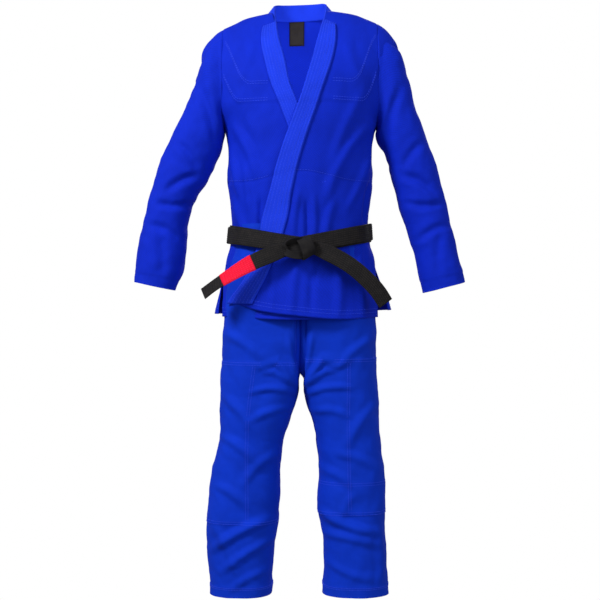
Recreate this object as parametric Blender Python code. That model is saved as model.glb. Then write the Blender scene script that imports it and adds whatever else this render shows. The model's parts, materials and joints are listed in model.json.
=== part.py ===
"""A belted grappling uniform: a lapelled jacket, its knotted belt and a pair of reinforced trousers.

Metres, +Z up. The origin is the middle of the trousers' waist opening, and the front faces -Y. The
wearer's left is +X. Every wall is a sheet of cloth laid on a smooth surface and thickened outwards.
"""
import math
from bisect import bisect_right

import bmesh
import bpy
from mathutils import Matrix, Vector

# Cloth thicknesses, and the gap left between two sewn layers
CLOTH = 0.0020
PATCH = 0.0012
LAPEL_CORE = 0.0025
WAISTBAND = 0.0030
SEAM_GAP = 0.0003
SEAM_ANGLE = 0.0025

# Jacket body: height, half width, front depth and back depth of its cross-section
JACKET_SECTIONS = (
    (-0.235, 0.207, 0.142, 0.140),
    (-0.160, 0.196, 0.137, 0.134),
    (-0.095, 0.185, 0.130, 0.127),
    (-0.045, 0.172, 0.123, 0.118),
    (0.000, 0.1685, 0.120, 0.116),
    (0.060, 0.176, 0.125, 0.117),
    (0.125, 0.181, 0.129, 0.121),
    (0.200, 0.179, 0.131, 0.126),
    (0.2375, 0.187, 0.131, 0.128),
    (0.305, 0.222, 0.125, 0.126),
    (0.350, 0.236, 0.118, 0.122),
    (0.400, 0.243, 0.103, 0.112),
    (0.4375, 0.240, 0.085, 0.097),
    (0.4625, 0.225, 0.070, 0.083),
    (0.4875, 0.1975, 0.054, 0.069),
    (0.505, 0.160, 0.043, 0.060),
    (0.520, 0.122, 0.036, 0.053),
)
JACKET_ROWS = (-0.160, -0.095, -0.045, -0.022, 0.0, 0.060, 0.125, 0.200, 0.2375, 0.262, 0.305,
               0.350, 0.400, 0.4375, 0.4625, 0.4875, 0.505, 0.520)
YOKE_ROWS = JACKET_ROWS[JACKET_ROWS.index(0.305):]
BACK_COLUMNS = 14
FRONT_COLUMNS = 9
ARMHOLE_X = 0.188

# Hem of each front and of the back, as height against x
FRONT_HEM = ((-0.20, -0.186), (-0.10, -0.212), (0.0, -0.228), (0.10, -0.234), (0.20, -0.232))
UNDER_HEM = ((-0.20, -0.222), (0.0, -0.235), (0.20, -0.222))
BACK_HEM = ((-0.20, -0.222), (0.0, -0.226), (0.20, -0.214))

# Lapels: x of each front edge against height. The left front closes over the right one.
LEFT_EDGE = ((-0.235, -0.168), (-0.095, -0.128), (0.000, -0.096), (0.1125, -0.0675), (0.200, -0.045),
             (0.295, -0.0125), (0.375, 0.020), (0.450, 0.043), (0.520, 0.062))
RIGHT_EDGE = ((-0.235, 0.132), (0.000, 0.100), (0.200, 0.025), (0.325, -0.020), (0.400, -0.037),
              (0.520, -0.062))
LAPEL_SPAN = 0.048
OVERLAP_LIFT = 0.0115
OVERLAP_OUTER = math.radians(84)
OVERLAP_EDGE = math.radians(26)
OVERLAP_CHEST = 0.200
OVERLAP_FADE = (0.34, 0.44)

# Collar behind the neck
COLLAR_LOW = (0.5215, 0.084, 0.054)
COLLAR_HIGH = (0.5600, 0.066, 0.044)
COLLAR_HALF_TURN = math.radians(118)
COLLAR_COLUMNS = 12

# Label on the inside of the back, below the collar
LABEL_HALF_WIDTH = 0.0177
LABEL_LOW = 0.460
LABEL_HIGH = 0.512
LABEL_GAP = 0.0014

# Belt: a flat strap round the waist that dips to its knot
BELT_HEIGHT = 0.0425
BELT_THICKNESS = 0.0040
BELT_MIDDLE_Z = -0.0225
BELT_DIP = 0.0375
BELT_GAP = 0.0030
BELT_OVER_LAPELS = 0.0180
BELT_COLUMNS = 36
KNOT_CENTRE = Vector((0.003, -0.171, -0.064))
KNOT_SIZE = Vector((0.078, 0.026, 0.052))
KNOT_BEVEL = 0.009

# Belt ends: their middle lines, from the knot to the tip
TAIL_WIDTH = 0.036
TAIL_PIVOT = Vector((0.003, -0.169, -0.050))
RIGHT_TAIL = ((-0.046, -0.169, -0.072), (-0.080, -0.168, -0.084), (-0.120, -0.166, -0.102),
              (-0.162, -0.163, -0.126), (-0.204, -0.158, -0.153), (-0.233, -0.152, -0.176))
LEFT_TAIL = ((0.054, -0.169, -0.074), (0.082, -0.169, -0.088), (0.122, -0.168, -0.112),
             (0.160, -0.164, -0.143), (0.190, -0.159, -0.173), (0.208, -0.153, -0.200))
RANK_BAR_SPAN = (2, 4)
RANK_BAR_THICKNESS = 0.0012

# Sleeves: outer x and z, inner x and z, half depth, from the armhole to the cuff
SLEEVE_RINGS = (
    (0.194, 0.462, 0.194, 0.242, 0.068),
    (0.238, 0.441, 0.198, 0.226, 0.071),
    (0.264, 0.372, 0.202, 0.206, 0.068),
    (0.286, 0.305, 0.207, 0.176, 0.066),
    (0.318, 0.222, 0.217, 0.142, 0.064),
    (0.345, 0.150, 0.234, 0.098, 0.062),
    (0.370, 0.065, 0.262, 0.035, 0.059),
    (0.386, 0.000, 0.275, -0.020, 0.057),
    (0.401, -0.070, 0.288, -0.075, 0.054),
    (0.415, -0.1425, 0.306, -0.170, 0.050),
)
SHOULDER_PIVOT_Z = 0.400
ELBOW_PIVOT_X = 0.316
ELBOW_PIVOT_Z = 0.045
ELBOW_RADIUS = 0.088
CUFF_BAND = 0.18
ABOVE_ELBOW_RING = 3.0

# Trouser seat: height, half width and half depth of its cross-section
SEAT_SECTIONS = (
    (-0.300, 0.191, 0.122),
    (-0.230, 0.190, 0.124),
    (-0.100, 0.174, 0.116),
    (-0.045, 0.160, 0.106),
    (0.000, 0.153, 0.100),
)
WAISTBAND_DEPTH = 0.045
WAIST_SEGMENTS = 28
LOOP_HALF_ANGLE = 0.055
LOOP_ANGLES = {"loop_front_left": 22, "loop_front_right": -22, "loop_side_left": 90,
               "loop_side_right": -90, "loop_back_left": 158, "loop_back_right": -158}

# Trouser legs: height, outer x, inner x and half depth, from the hip to the hem
LEG_RINGS = (
    (-0.200, 0.188, 0.006, 0.114),
    (-0.300, 0.191, 0.006, 0.112),
    (-0.372, 0.1925, 0.006, 0.108),
    (-0.412, 0.1935, 0.009, 0.106),
    (-0.4875, 0.195, 0.026, 0.100),
    (-0.5375, 0.199, 0.043, 0.095),
    (-0.6125, 0.213, 0.049, 0.091),
    (-0.6875, 0.218, 0.050, 0.089),
    (-0.7875, 0.222, 0.060, 0.086),
    (-0.9170, 0.220, 0.065, 0.080),
)
LEG_SQUARENESS = 2.6
CROTCH_RING = 2.0
BELOW_KNEE_RING = 6.0
HIP_PIVOT_X = 0.0975
HIP_PIVOT_Z = -0.360
HIP_RADIUS = 0.150
KNEE_PIVOT_X = 0.121
KNEE_PIVOT_Z = -0.540
KNEE_RADIUS = 0.125
JOINT_CLEARANCE = 0.005
ANKLE_BAND = 0.20
LIMB_SEGMENTS = 20
THIGH_ROWS = 6
SHIN_ROWS = 5
SLEEVE_ROWS = 5

BLUE = (0.010, 0.045, 0.520)
BLUE_PATCH = (0.012, 0.055, 0.580)
BLACK = (0.016, 0.015, 0.015)
RED = (0.850, 0.006, 0.035)
RUBBER = (0.030, 0.030, 0.035)
CLOTH_ROUGHNESS = 0.9


def clear_scene():
    for item in list(bpy.data.objects):
        bpy.data.objects.remove(item, do_unlink=True)


def material(name, colour, roughness=CLOTH_ROUGHNESS):
    made = bpy.data.materials.new(name)
    made.use_nodes = True
    shader = made.node_tree.nodes["Principled BSDF"]
    shader.inputs["Base Color"].default_value = (*colour, 1.0)
    shader.inputs["Roughness"].default_value = roughness
    shader.inputs["Metallic"].default_value = 0.0
    return made


def smooth(low, high, value):
    """0 below low, 1 above high and an even curve between."""
    share = min(max((value - low) / (high - low), 0.0), 1.0)
    return share * share * (3.0 - 2.0 * share)


def along(stations, key):
    """The values of hand-set stations at a key, on a smooth curve through them."""
    keys = [station[0] for station in stations]
    key = min(max(key, keys[0]), keys[-1])
    index = min(bisect_right(keys, key), len(keys) - 1) - 1
    width = keys[index + 1] - keys[index]
    share = (key - keys[index]) / width

    def slope(station, column):
        low = max(station - 1, 0)
        high = min(station + 1, len(keys) - 1)
        return (stations[high][column] - stations[low][column]) / (keys[high] - keys[low])

    values = []
    for column in range(1, len(stations[0])):
        start = stations[index][column]
        rise = stations[index + 1][column] - start
        leave = slope(index, column) * width
        arrive = slope(index + 1, column) * width
        bend = (3.0 * rise - 2.0 * leave - arrive) * share ** 2
        turn = (leave + arrive - 2.0 * rise) * share ** 3
        values.append(start + leave * share + bend + turn)
    return values


def lifted(surface, first, second, lift):
    """A point of surface(first, second), moved out along the surface's normal."""
    step = 0.002
    across = surface(first + step, second) - surface(first - step, second)
    upward = surface(first, second + step) - surface(first, second - step)
    return surface(first, second) + across.cross(upward).normalized() * lift


def finish(name, mesh, look, joint=None):
    """Puts a bmesh in the scene as one named piece; its origin is the joint that it turns on."""
    data = bpy.data.meshes.new(name)
    mesh.to_mesh(data)
    mesh.free()
    data.shade_smooth()
    data.set_sharp_from_angle(angle=math.radians(50))
    data.materials.append(look)
    piece = bpy.data.objects.new(name, data)
    bpy.context.scene.collection.objects.link(piece)
    if joint:
        data.transform(Matrix.Translation(-Vector(joint["pivot"])))
        piece.parent = joint
    return piece


def cloth(name, rows, thickness, look, joint=None, ring=False):
    """A wall of cloth: a sheet through rows of points, thickened outwards."""
    mesh = bmesh.new()
    grid = [[mesh.verts.new(point) for point in row] for row in rows]
    columns = len(rows[0])
    for lower, upper in zip(grid, grid[1:]):
        for column in range(columns if ring else columns - 1):
            following = (column + 1) % columns
            mesh.faces.new((lower[column], lower[following], upper[following]))
            mesh.faces.new((lower[column], upper[following], upper[column]))
    piece = finish(name, mesh, look, joint)
    wall = piece.modifiers.new("wall", "SOLIDIFY")
    wall.thickness = thickness
    wall.offset = 1.0
    wall.use_even_offset = False
    return piece


def joint_empty(name, pivot, parent=None):
    """An empty on a joint's axis, which the pieces that move on it hang from."""
    empty = bpy.data.objects.new(name, None)
    bpy.context.scene.collection.objects.link(empty)
    empty["pivot"] = pivot
    empty.location = pivot - (Vector(parent["pivot"]) if parent else Vector())
    empty.parent = parent
    return empty


# Jacket body


def jacket_surface(angle, z):
    """The jacket's inner surface; angle 0 is the middle of the front and 90 degrees the left side."""
    width, front, back = along(JACKET_SECTIONS, z)
    depth = front if math.cos(angle) > 0 else back
    return Vector((width * math.sin(angle), -depth * math.cos(angle), z))


def side_angle(z):
    """Where a front meets the back: at the side seam, at the armhole, or along the shoulder seam."""
    width = along(JACKET_SECTIONS, z)[0]
    return math.asin(min(1.0, ARMHOLE_X / width)) - SEAM_ANGLE


def front_angles(side, z):
    """A front's columns: the lapel's edge, middle and seam, and then even steps to the side."""
    width = along(JACKET_SECTIONS, z)[0]
    edge = along(LEFT_EDGE if side > 0 else RIGHT_EDGE, z)[0]
    limit = side_angle(z)
    lapel = []
    for share in (0.0, 0.5, 1.0):
        x = side * edge + share * LAPEL_SPAN
        lapel.append(min(math.asin(max(-1.0, min(1.0, x / width))), limit - 0.03 * (1.2 - share)))
    steps = FRONT_COLUMNS - 2
    rest = [lapel[-1] + (limit - lapel[-1]) * step / steps for step in range(1, steps + 1)]
    return [side * angle for angle in lapel + rest]


def front_lift(side, angle, z):
    """How far the left front stands off where it passes over the right front and its lapel."""
    if side < 0:
        return 0.0
    outer = min(OVERLAP_OUTER, side_angle(z)) if z > OVERLAP_CHEST else OVERLAP_OUTER
    return OVERLAP_LIFT * smooth(outer, outer - OVERLAP_EDGE, angle) * smooth(*OVERLAP_FADE[::-1], z)


def front_rows(side, columns, heights, lift):
    """Rows of points on a front, over some of its columns; a height of None is the hem."""
    hem = FRONT_HEM if side > 0 else UNDER_HEM
    rows = []
    for height in heights:
        row = []
        for column in columns:
            z = height
            if height is None:
                angle = front_angles(side, JACKET_SECTIONS[0][0])[column]
                z = along(hem, JACKET_SECTIONS[0][1] * math.sin(angle))[0]
            angle = front_angles(side, z)[column]
            row.append(lifted(jacket_surface, angle, z, front_lift(side, angle, z) + lift))
        rows.append(row if side > 0 else row[::-1])
    return rows


def back_rows(columns, heights, lift):
    """Rows of points on the back, from the left side seam round to the right one."""
    rows = []
    for height in heights:
        row = []
        for column in columns:
            share = column / BACK_COLUMNS
            z = height
            if height is None:
                z = along(BACK_HEM, JACKET_SECTIONS[0][1] * math.cos(math.pi * share))[0]
            start = math.pi - side_angle(z)
            angle = start + (2.0 * math.pi - 2.0 * start) * share
            row.append(lifted(jacket_surface, angle, z, lift))
        rows.append(row)
    return rows


def make_jacket_body(blue, patch, joint):
    heights = (None,) + JACKET_ROWS
    cloth("jacket_back", back_rows(range(BACK_COLUMNS + 1), heights, 0.0), CLOTH, blue, joint)
    cloth("back_yoke", back_rows(range(BACK_COLUMNS + 1), YOKE_ROWS, CLOTH + SEAM_GAP), PATCH, patch,
          joint)
    for word, side in (("left", 1), ("right", -1)):
        rows = front_rows(side, range(FRONT_COLUMNS + 1), heights, 0.0)
        cloth(f"jacket_front_{word}", rows, CLOTH, blue, joint)
        rows = front_rows(side, range(3, FRONT_COLUMNS + 1), YOKE_ROWS, CLOTH + SEAM_GAP)
        cloth(f"shoulder_patch_{word}", rows, PATCH, patch, joint)


def make_vent_patches(patch, joint):
    """Squares that reinforce the back's sides, where the side vents open."""
    heights = (-0.160, -0.095)
    for word, columns in (("left", range(2)), ("right", range(BACK_COLUMNS - 1, BACK_COLUMNS + 1))):
        rows = back_rows(columns, heights, CLOTH + SEAM_GAP)
        cloth(f"vent_patch_{word}", rows, PATCH, patch, joint)


def make_lapels(blue, core, joint):
    """Each lapel is a firm core on the front's edge, under a cloth cover."""
    heights = (None,) + JACKET_ROWS
    core_lift = CLOTH + SEAM_GAP
    cover_lift = core_lift + LAPEL_CORE + SEAM_GAP
    for word, side in (("left", 1), ("right", -1)):
        rows = front_rows(side, range(3), heights, core_lift)
        cloth(f"lapel_core_{word}", rows, LAPEL_CORE, core, joint)
        rows = front_rows(side, range(3), heights, cover_lift)
        cloth(f"lapel_cover_{word}", rows, PATCH, blue, joint)


def collar_rows(lift):
    rows = []
    for z, width, depth in (COLLAR_LOW, COLLAR_HIGH):
        row = []
        for column in range(COLLAR_COLUMNS + 1):
            angle = math.pi + COLLAR_HALF_TURN * (2.0 * column / COLLAR_COLUMNS - 1.0)
            row.append(Vector(((width + lift) * math.sin(angle), -(depth + lift) * math.cos(angle), z)))
        rows.append(row)
    return rows


def make_collar(blue, core, joint):
    """The lapels' band behind the neck: its firm core inside its cloth cover."""
    cloth("collar_core", collar_rows(0.0), LAPEL_CORE, core, joint)
    cloth("collar_cover", collar_rows(LAPEL_CORE + 2.0 * SEAM_GAP), PATCH, blue, joint)


def make_label(black, joint):
    """A blank label on the inside of the back."""
    rows = []
    for z in (LABEL_LOW, 0.5 * (LABEL_LOW + LABEL_HIGH), LABEL_HIGH):
        row = []
        for share in (-1.0, 0.0, 1.0):
            width = along(JACKET_SECTIONS, z)[0]
            angle = math.pi - math.asin(LABEL_HALF_WIDTH * share / width)
            row.append(lifted(jacket_surface, angle, z, -LABEL_GAP - PATCH))
        rows.append(row[::-1])
    cloth("neck_label", rows, PATCH * 0.5, black, joint)


# Limbs: sleeves and trouser legs


def superellipse(angle, squareness):
    """A point of a rounded section of size 1; 0 is the outer side and 90 degrees the front."""
    x = math.copysign(abs(math.cos(angle)) ** (2.0 / squareness), math.cos(angle))
    y = math.copysign(abs(math.sin(angle)) ** (2.0 / squareness), math.sin(angle))
    return x, y


def limb_surface(rings, side, squareness):
    """The surface of a tube through rings, each set by its outer and inner points and its depth."""
    stations = [(index, *ring) for index, ring in enumerate(rings)]

    def surface(angle, ring):
        outer_x, outer_z, inner_x, inner_z, depth = along(stations, ring)
        x, y = superellipse(angle, squareness)
        return Vector((side * (outer_x * (1 + x) + inner_x * (1 - x)) / 2.0, -depth * y,
                       (outer_z * (1 + x) + inner_z * (1 - x)) / 2.0))

    return surface


def crossing(line, low, high, pivot_z, radius):
    """Where a line down a tube meets the top of a cylinder on a joint's axis."""
    for _ in range(30):
        middle = 0.5 * (low + high)
        point = line(middle)
        above = point.z - pivot_z > math.sqrt(max(radius ** 2 - point.y ** 2, 0.0))
        low, high = (middle, high) if above else (low, middle)
    return low


def limb_rows(surface, side, top, bottom, shares, columns, lift):
    """Rows of points on a tube, at shares of the way from its top edge to its bottom edge."""
    rows = []
    for share in sorted(shares, reverse=True):
        row = []
        for column in columns:
            angle = 2.0 * math.pi * column / LIMB_SEGMENTS
            ring = top(angle) + (bottom(angle) - top(angle)) * share
            row.append(surface(angle, ring) if lift == 0 else tube_lift(surface, side, angle, ring, lift))
        rows.append(row[::-1] if side > 0 else row)
    return rows


def tube_lift(surface, side, angle, ring, lift):
    """A point of a tube moved outwards; a tube's rings count downwards, so the sign follows its side."""
    return lifted(surface, angle, ring, lift * side)


def shares(count):
    return [step / count for step in range(count + 1)]


def make_sleeve(word, side, blue, patch, jacket):
    """A sleeve in two tubes that meet on the elbow's axis, with its underarm gusset and cuff band."""
    shoulder = joint_empty(f"shoulder_{word}", Vector((side * SLEEVE_RINGS[0][0], 0, SHOULDER_PIVOT_Z)),
                           jacket)
    elbow = joint_empty(f"elbow_{word}", Vector((side * ELBOW_PIVOT_X, 0, ELBOW_PIVOT_Z)), shoulder)
    surface = limb_surface(SLEEVE_RINGS, side, 2.0)
    last = len(SLEEVE_RINGS) - 1
    ring = range(LIMB_SEGMENTS)

    def top(angle):
        return 0.0

    def elbow_edge(radius):
        return lambda angle: crossing(lambda t: surface(angle, t), ABOVE_ELBOW_RING, last - 1.0,
                                      ELBOW_PIVOT_Z, radius)

    def cuff(angle):
        return float(last)

    upper = limb_rows(surface, side, top, elbow_edge(ELBOW_RADIUS), shares(SLEEVE_ROWS), ring, 0.0)
    cloth(f"upper_sleeve_{word}", upper, CLOTH, blue, shoulder, ring=True)
    gusset_columns = range(LIMB_SEGMENTS // 2 - 3, LIMB_SEGMENTS // 2 + 4)
    gusset = limb_rows(surface, side, top, elbow_edge(ELBOW_RADIUS), shares(SLEEVE_ROWS)[2:5],
                       gusset_columns, CLOTH + SEAM_GAP)
    cloth(f"underarm_gusset_{word}", gusset, PATCH, patch, shoulder)
    lower_top = elbow_edge(ELBOW_RADIUS - JOINT_CLEARANCE)
    rows = shares(SLEEVE_ROWS)[:-1] + [1.0 - CUFF_BAND / 2, 1.0]
    lower = limb_rows(surface, side, lower_top, cuff, rows, ring, 0.0)
    cloth(f"lower_sleeve_{word}", lower, CLOTH, blue, elbow, ring=True)
    band = limb_rows(surface, side, lower_top, cuff, rows[-2:], ring, -PATCH - SEAM_GAP)
    cloth(f"cuff_band_{word}", band, PATCH, patch, elbow, ring=True)


def make_leg(word, side, blue, patch):
    """A leg in two tubes that meet on the knee's axis, with its patches, gusset and ankle band."""
    hip = joint_empty(f"hip_{word}", Vector((side * HIP_PIVOT_X, 0, HIP_PIVOT_Z)))
    knee = joint_empty(f"knee_{word}", Vector((side * KNEE_PIVOT_X, 0, KNEE_PIVOT_Z)), hip)
    rings = [(outer, z, inner, z, depth) for z, outer, inner, depth in LEG_RINGS]
    surface = limb_surface(rings, side, LEG_SQUARENESS)
    last = len(LEG_RINGS) - 1
    ring = range(LIMB_SEGMENTS)

    def hip_edge(angle):
        """The dome under the seat, cut away on the inner side down to the crotch."""
        dome = crossing(lambda t: surface(angle, t), 0.0, CROTCH_RING, HIP_PIVOT_Z,
                        HIP_RADIUS - JOINT_CLEARANCE)
        inner = smooth(0.6, 0.95, -math.cos(angle))
        return dome + (CROTCH_RING - dome) * inner

    def knee_edge(radius):
        return lambda angle: crossing(lambda t: surface(angle, t), CROTCH_RING, BELOW_KNEE_RING,
                                      KNEE_PIVOT_Z, radius)

    def hem(angle):
        return float(last)

    rows = shares(THIGH_ROWS)
    thigh_end = knee_edge(KNEE_RADIUS)
    thigh = limb_rows(surface, side, hip_edge, thigh_end, rows, ring, 0.0)
    cloth(f"thigh_{word}", thigh, CLOTH, blue, hip, ring=True)
    front = range(1, LIMB_SEGMENTS // 2)
    patch_rows = limb_rows(surface, side, hip_edge, thigh_end, rows[3:], front, CLOTH + SEAM_GAP)
    cloth(f"knee_patch_{word}", patch_rows, PATCH, patch, hip)
    inner = range(LIMB_SEGMENTS // 2 - 4, LIMB_SEGMENTS // 2 + 5)
    gusset = limb_rows(surface, side, hip_edge, thigh_end, rows[:2], inner, -PATCH - SEAM_GAP)
    cloth(f"crotch_gusset_{word}", gusset, PATCH, patch, hip)

    shin_start = knee_edge(KNEE_RADIUS - JOINT_CLEARANCE)
    rows = shares(SHIN_ROWS)[:-1] + [1.0 - ANKLE_BAND / 2, 1.0]
    shin = limb_rows(surface, side, shin_start, hem, rows, ring, 0.0)
    cloth(f"shin_{word}", shin, CLOTH, blue, knee, ring=True)
    patch_rows = limb_rows(surface, side, shin_start, hem, rows[:4], front, CLOTH + SEAM_GAP)
    cloth(f"shin_patch_{word}", patch_rows, PATCH, patch, knee)
    band = limb_rows(surface, side, shin_start, hem, rows[-2:], ring, -PATCH - SEAM_GAP)
    cloth(f"ankle_band_{word}", band, PATCH, patch, knee, ring=True)


# Trouser seat and waistband


def seat_surface(angle, z):
    width, depth = along(SEAT_SECTIONS, z)
    return Vector((width * math.sin(angle), -depth * math.cos(angle), z))


def make_seat(blue):
    """Two halves that meet at the centre seams and end in an arc on the hips' axis."""
    top = -WAISTBAND_DEPTH - 4.0 * SEAM_GAP
    columns = 12
    for word, side in (("left", 1), ("right", -1)):
        rows = []
        for share in reversed(shares(5)):
            row = []
            for column in range(columns + 1):
                angle = side * (SEAM_ANGLE + (math.pi - 2.0 * SEAM_ANGLE) * column / columns)
                low = -crossing(lambda t: seat_surface(angle, -t), 0.1, 0.3, HIP_PIVOT_Z, HIP_RADIUS)
                row.append(seat_surface(angle, top + (low - top) * share))
            rows.append(row if side > 0 else row[::-1])
        cloth(f"seat_{word}", rows, CLOTH, blue)


def make_waistband(blue, patch):
    rows = []
    for z in (-WAISTBAND_DEPTH, -WAISTBAND_DEPTH / 2, 0.0):
        rows.append([seat_surface(2.0 * math.pi * step / WAIST_SEGMENTS, z)
                     for step in range(WAIST_SEGMENTS)])
    cloth("waistband", rows, WAISTBAND, blue, ring=True)
    for name, degrees in LOOP_ANGLES.items():
        middle = math.radians(degrees)
        rows = []
        for z in (-WAISTBAND_DEPTH + 0.004, -0.004):
            rows.append([lifted(seat_surface, middle + turn, z, WAISTBAND + 3.0 * SEAM_GAP)
                         for turn in (-LOOP_HALF_ANGLE, 0.0, LOOP_HALF_ANGLE)])
        cloth(name, rows, PATCH, patch)


# Belt


def belt_rows():
    """The band round the waist, standing further off where it crosses the lapels."""
    rows = []
    for across in (-0.5, 0.0, 0.5):
        row = []
        for column in range(BELT_COLUMNS):
            angle = 2.0 * math.pi * column / BELT_COLUMNS
            turn = abs(math.remainder(angle, 2.0 * math.pi))
            front = 1.0 - abs(math.sin(angle)) if math.cos(angle) > 0.0 else 0.0
            z = BELT_MIDDLE_Z - BELT_DIP * front + across * BELT_HEIGHT
            over = BELT_OVER_LAPELS * smooth(math.radians(86), math.radians(52), turn)
            row.append(lifted(jacket_surface, angle, z, CLOTH + BELT_GAP + over))
        rows.append(row)
    return rows


def make_knot(black, joint):
    mesh = bmesh.new()
    bmesh.ops.create_cube(mesh, size=1.0)
    bmesh.ops.scale(mesh, vec=KNOT_SIZE, verts=mesh.verts)
    bmesh.ops.translate(mesh, vec=KNOT_CENTRE, verts=mesh.verts)
    knot = finish("belt_knot", mesh, black, joint)
    edges = knot.modifiers.new("edges", "BEVEL")
    edges.width = KNOT_BEVEL
    edges.segments = 3


def tail_frames(path):
    """Each point of a belt end's middle line with the direction across its width."""
    points = [Vector(point) for point in path]
    frames = []
    for index, point in enumerate(points):
        before = points[max(index - 1, 0)]
        after = points[min(index + 1, len(points) - 1)]
        direction = (after - before).normalized()
        across = direction.cross(Vector((0.0, 1.0, 0.0))).normalized()
        frames.append((point, across if across.z > 0 else -across))
    return frames


def make_tail(word, path, black, joint):
    rows = []
    for point, across in tail_frames(path):
        rows.append([point - across * TAIL_WIDTH / 2, point + across * TAIL_WIDTH / 2])
    if path[-1][0] < path[0][0]:
        rows = [row[::-1] for row in rows]
    tail = cloth(f"belt_tail_{word}", rows, BELT_THICKNESS, black, joint)
    tail.modifiers["wall"].offset = 0.0


def make_rank_bar(red, joint):
    """A coloured sleeve of cloth sewn round one end of the belt."""
    first, last = RANK_BAR_SPAN
    half_width = TAIL_WIDTH / 2 + SEAM_GAP * 2
    half_depth = BELT_THICKNESS / 2 + SEAM_GAP * 2
    rows = []
    for point, across in tail_frames(RIGHT_TAIL)[first:last + 1]:
        depth = Vector((0.0, 1.0, 0.0))
        corners = ((-1, -1), (1, -1), (1, 1), (-1, 1))
        rows.append([point + across * wide * half_width + depth * deep * half_depth
                     for wide, deep in corners])
    cloth("rank_bar", rows, RANK_BAR_THICKNESS, red, joint, ring=True)


def make_belt(black, red, jacket):
    cloth("belt_wrap", belt_rows(), BELT_THICKNESS, black, jacket, ring=True)
    make_knot(black, jacket)
    left = joint_empty("tail_left", TAIL_PIVOT, jacket)
    right = joint_empty("tail_right", TAIL_PIVOT, jacket)
    make_tail("left", LEFT_TAIL, black, left)
    make_tail("right", RIGHT_TAIL, black, right)
    make_rank_bar(red, right)


def main():
    clear_scene()
    blue = material("pearl_weave", BLUE)
    patch = material("reinforcing_cloth", BLUE_PATCH)
    twill = material("trouser_twill", BLUE)
    core = material("lapel_core_rubber", RUBBER)
    black = material("belt_cotton", BLACK)
    red = material("rank_bar_cotton", RED)
    jacket = joint_empty("jacket_lift", Vector((0, 0, 0)))
    make_jacket_body(blue, patch, jacket)
    make_vent_patches(patch, jacket)
    make_lapels(blue, core, jacket)
    make_collar(blue, core, jacket)
    make_label(black, jacket)
    make_belt(black, red, jacket)
    make_waistband(twill, patch)
    make_seat(twill)
    for word, side in (("left", 1), ("right", -1)):
        make_sleeve(word, side, blue, patch, jacket)
        make_leg(word, side, twill, patch)


main()
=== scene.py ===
import json
import math

import bmesh
import bpy
import numpy as np
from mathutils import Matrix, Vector


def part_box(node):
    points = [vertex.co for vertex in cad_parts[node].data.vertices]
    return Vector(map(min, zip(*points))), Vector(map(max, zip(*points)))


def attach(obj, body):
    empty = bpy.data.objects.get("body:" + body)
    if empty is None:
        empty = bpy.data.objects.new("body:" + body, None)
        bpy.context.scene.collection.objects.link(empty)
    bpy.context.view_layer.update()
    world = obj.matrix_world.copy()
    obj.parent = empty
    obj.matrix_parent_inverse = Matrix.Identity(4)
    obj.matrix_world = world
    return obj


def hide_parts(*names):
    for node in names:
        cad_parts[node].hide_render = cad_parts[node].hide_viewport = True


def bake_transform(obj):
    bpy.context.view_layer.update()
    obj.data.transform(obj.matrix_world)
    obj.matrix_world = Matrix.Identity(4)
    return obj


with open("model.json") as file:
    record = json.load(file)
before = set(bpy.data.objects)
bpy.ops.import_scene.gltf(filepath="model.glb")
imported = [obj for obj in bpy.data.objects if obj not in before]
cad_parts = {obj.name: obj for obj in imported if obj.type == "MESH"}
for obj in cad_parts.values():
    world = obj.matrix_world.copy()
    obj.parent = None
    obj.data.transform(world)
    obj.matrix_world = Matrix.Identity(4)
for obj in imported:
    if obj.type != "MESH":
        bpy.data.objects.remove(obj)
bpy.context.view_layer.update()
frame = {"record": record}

# ------------------------------------------------------------
# Jacket body: a back and two crossing fronts of blue cotton pearl weave, sewn together over the
# shoulders and down the sides, with open vents beside the skirt. A wearer's trunk fills it out.
# ------------------------------------------------------------

# Heights are measured from the top of the trousers' waistband, widths from the middle
WAIST = next(mount["pos_m"] for mount in frame["record"]["mounts"] if mount["name"] == "wearers_waist")
SIDES = (("left", 1.0), ("right", -1.0))
SIGN = dict(SIDES)
CLOTH = 0.002
CELL = 0.0042


def mm(values):
    """Millimetres as metres."""
    return np.array(values, float) / 1000.0


# Height, half width, front depth and back depth of the body's cross-section
BODY_SECTIONS = mm((
    (-240, 203, 141, 139), (-160, 192, 136, 133), (-95, 182, 129, 126),
    (-45, 171, 122, 117), (0, 167.5, 119, 115), (60, 173.5, 124, 116), (125, 179.5, 128, 120),
    (200, 177.5, 130, 125), (237.5, 187, 130, 127), (305, 222, 124, 126), (350, 236, 117, 122),
    (400, 243, 102, 112), (437.5, 240, 84, 97), (462.5, 225, 69, 83), (487.5, 197.5, 53, 69),
    (505, 160, 43, 61), (520, 122, 36, 56), (526.5, 88, 32, 57.5)))
BODY_TOP = 0.5265
# x of the seam to the sleeve, and of each front's edge against height
ARMHOLE_X = 0.19
LEFT_EDGE = mm((
    (-240, -184), (-189, -163), (-149, -134), (-90, -106), (-30, -92),
    (12.5, -85.5), (75, -69.5), (137.5, -54), (200, -35), (295, -1), (375, 23.5), (450, 43),
    (520, 62), (526.5, 64)))
RIGHT_EDGE = mm((
    (-240, 132), (0, 100), (200, 30), (300, -10), (325, -20), (400, -37),
    (450, -50), (520, -63), (526.5, -65)))
# Height of each hem against x
LEFT_HEM = mm((
    (-200, -186), (-165, -192.5), (-110, -210), (0, -227), (100, -235), (200, -229)))
RIGHT_HEM = mm(((-200, -228), (0, -235), (200, -222)))
BACK_HEM = mm(((-200, -222), (0, -226), (200, -212)))
EDGES = {"left": LEFT_EDGE, "right": RIGHT_EDGE}
HEMS = {"left": LEFT_HEM, "right": RIGHT_HEM, "back": BACK_HEM}
# The left front stands off where it crosses the right front and its lapel
CROSSING_LIFT = 0.0105
CROSSING_OUTER = math.radians(84)
CROSSING_FADE = math.radians(26)
CROSSING_HEIGHTS = (0.44, 0.34)
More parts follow.
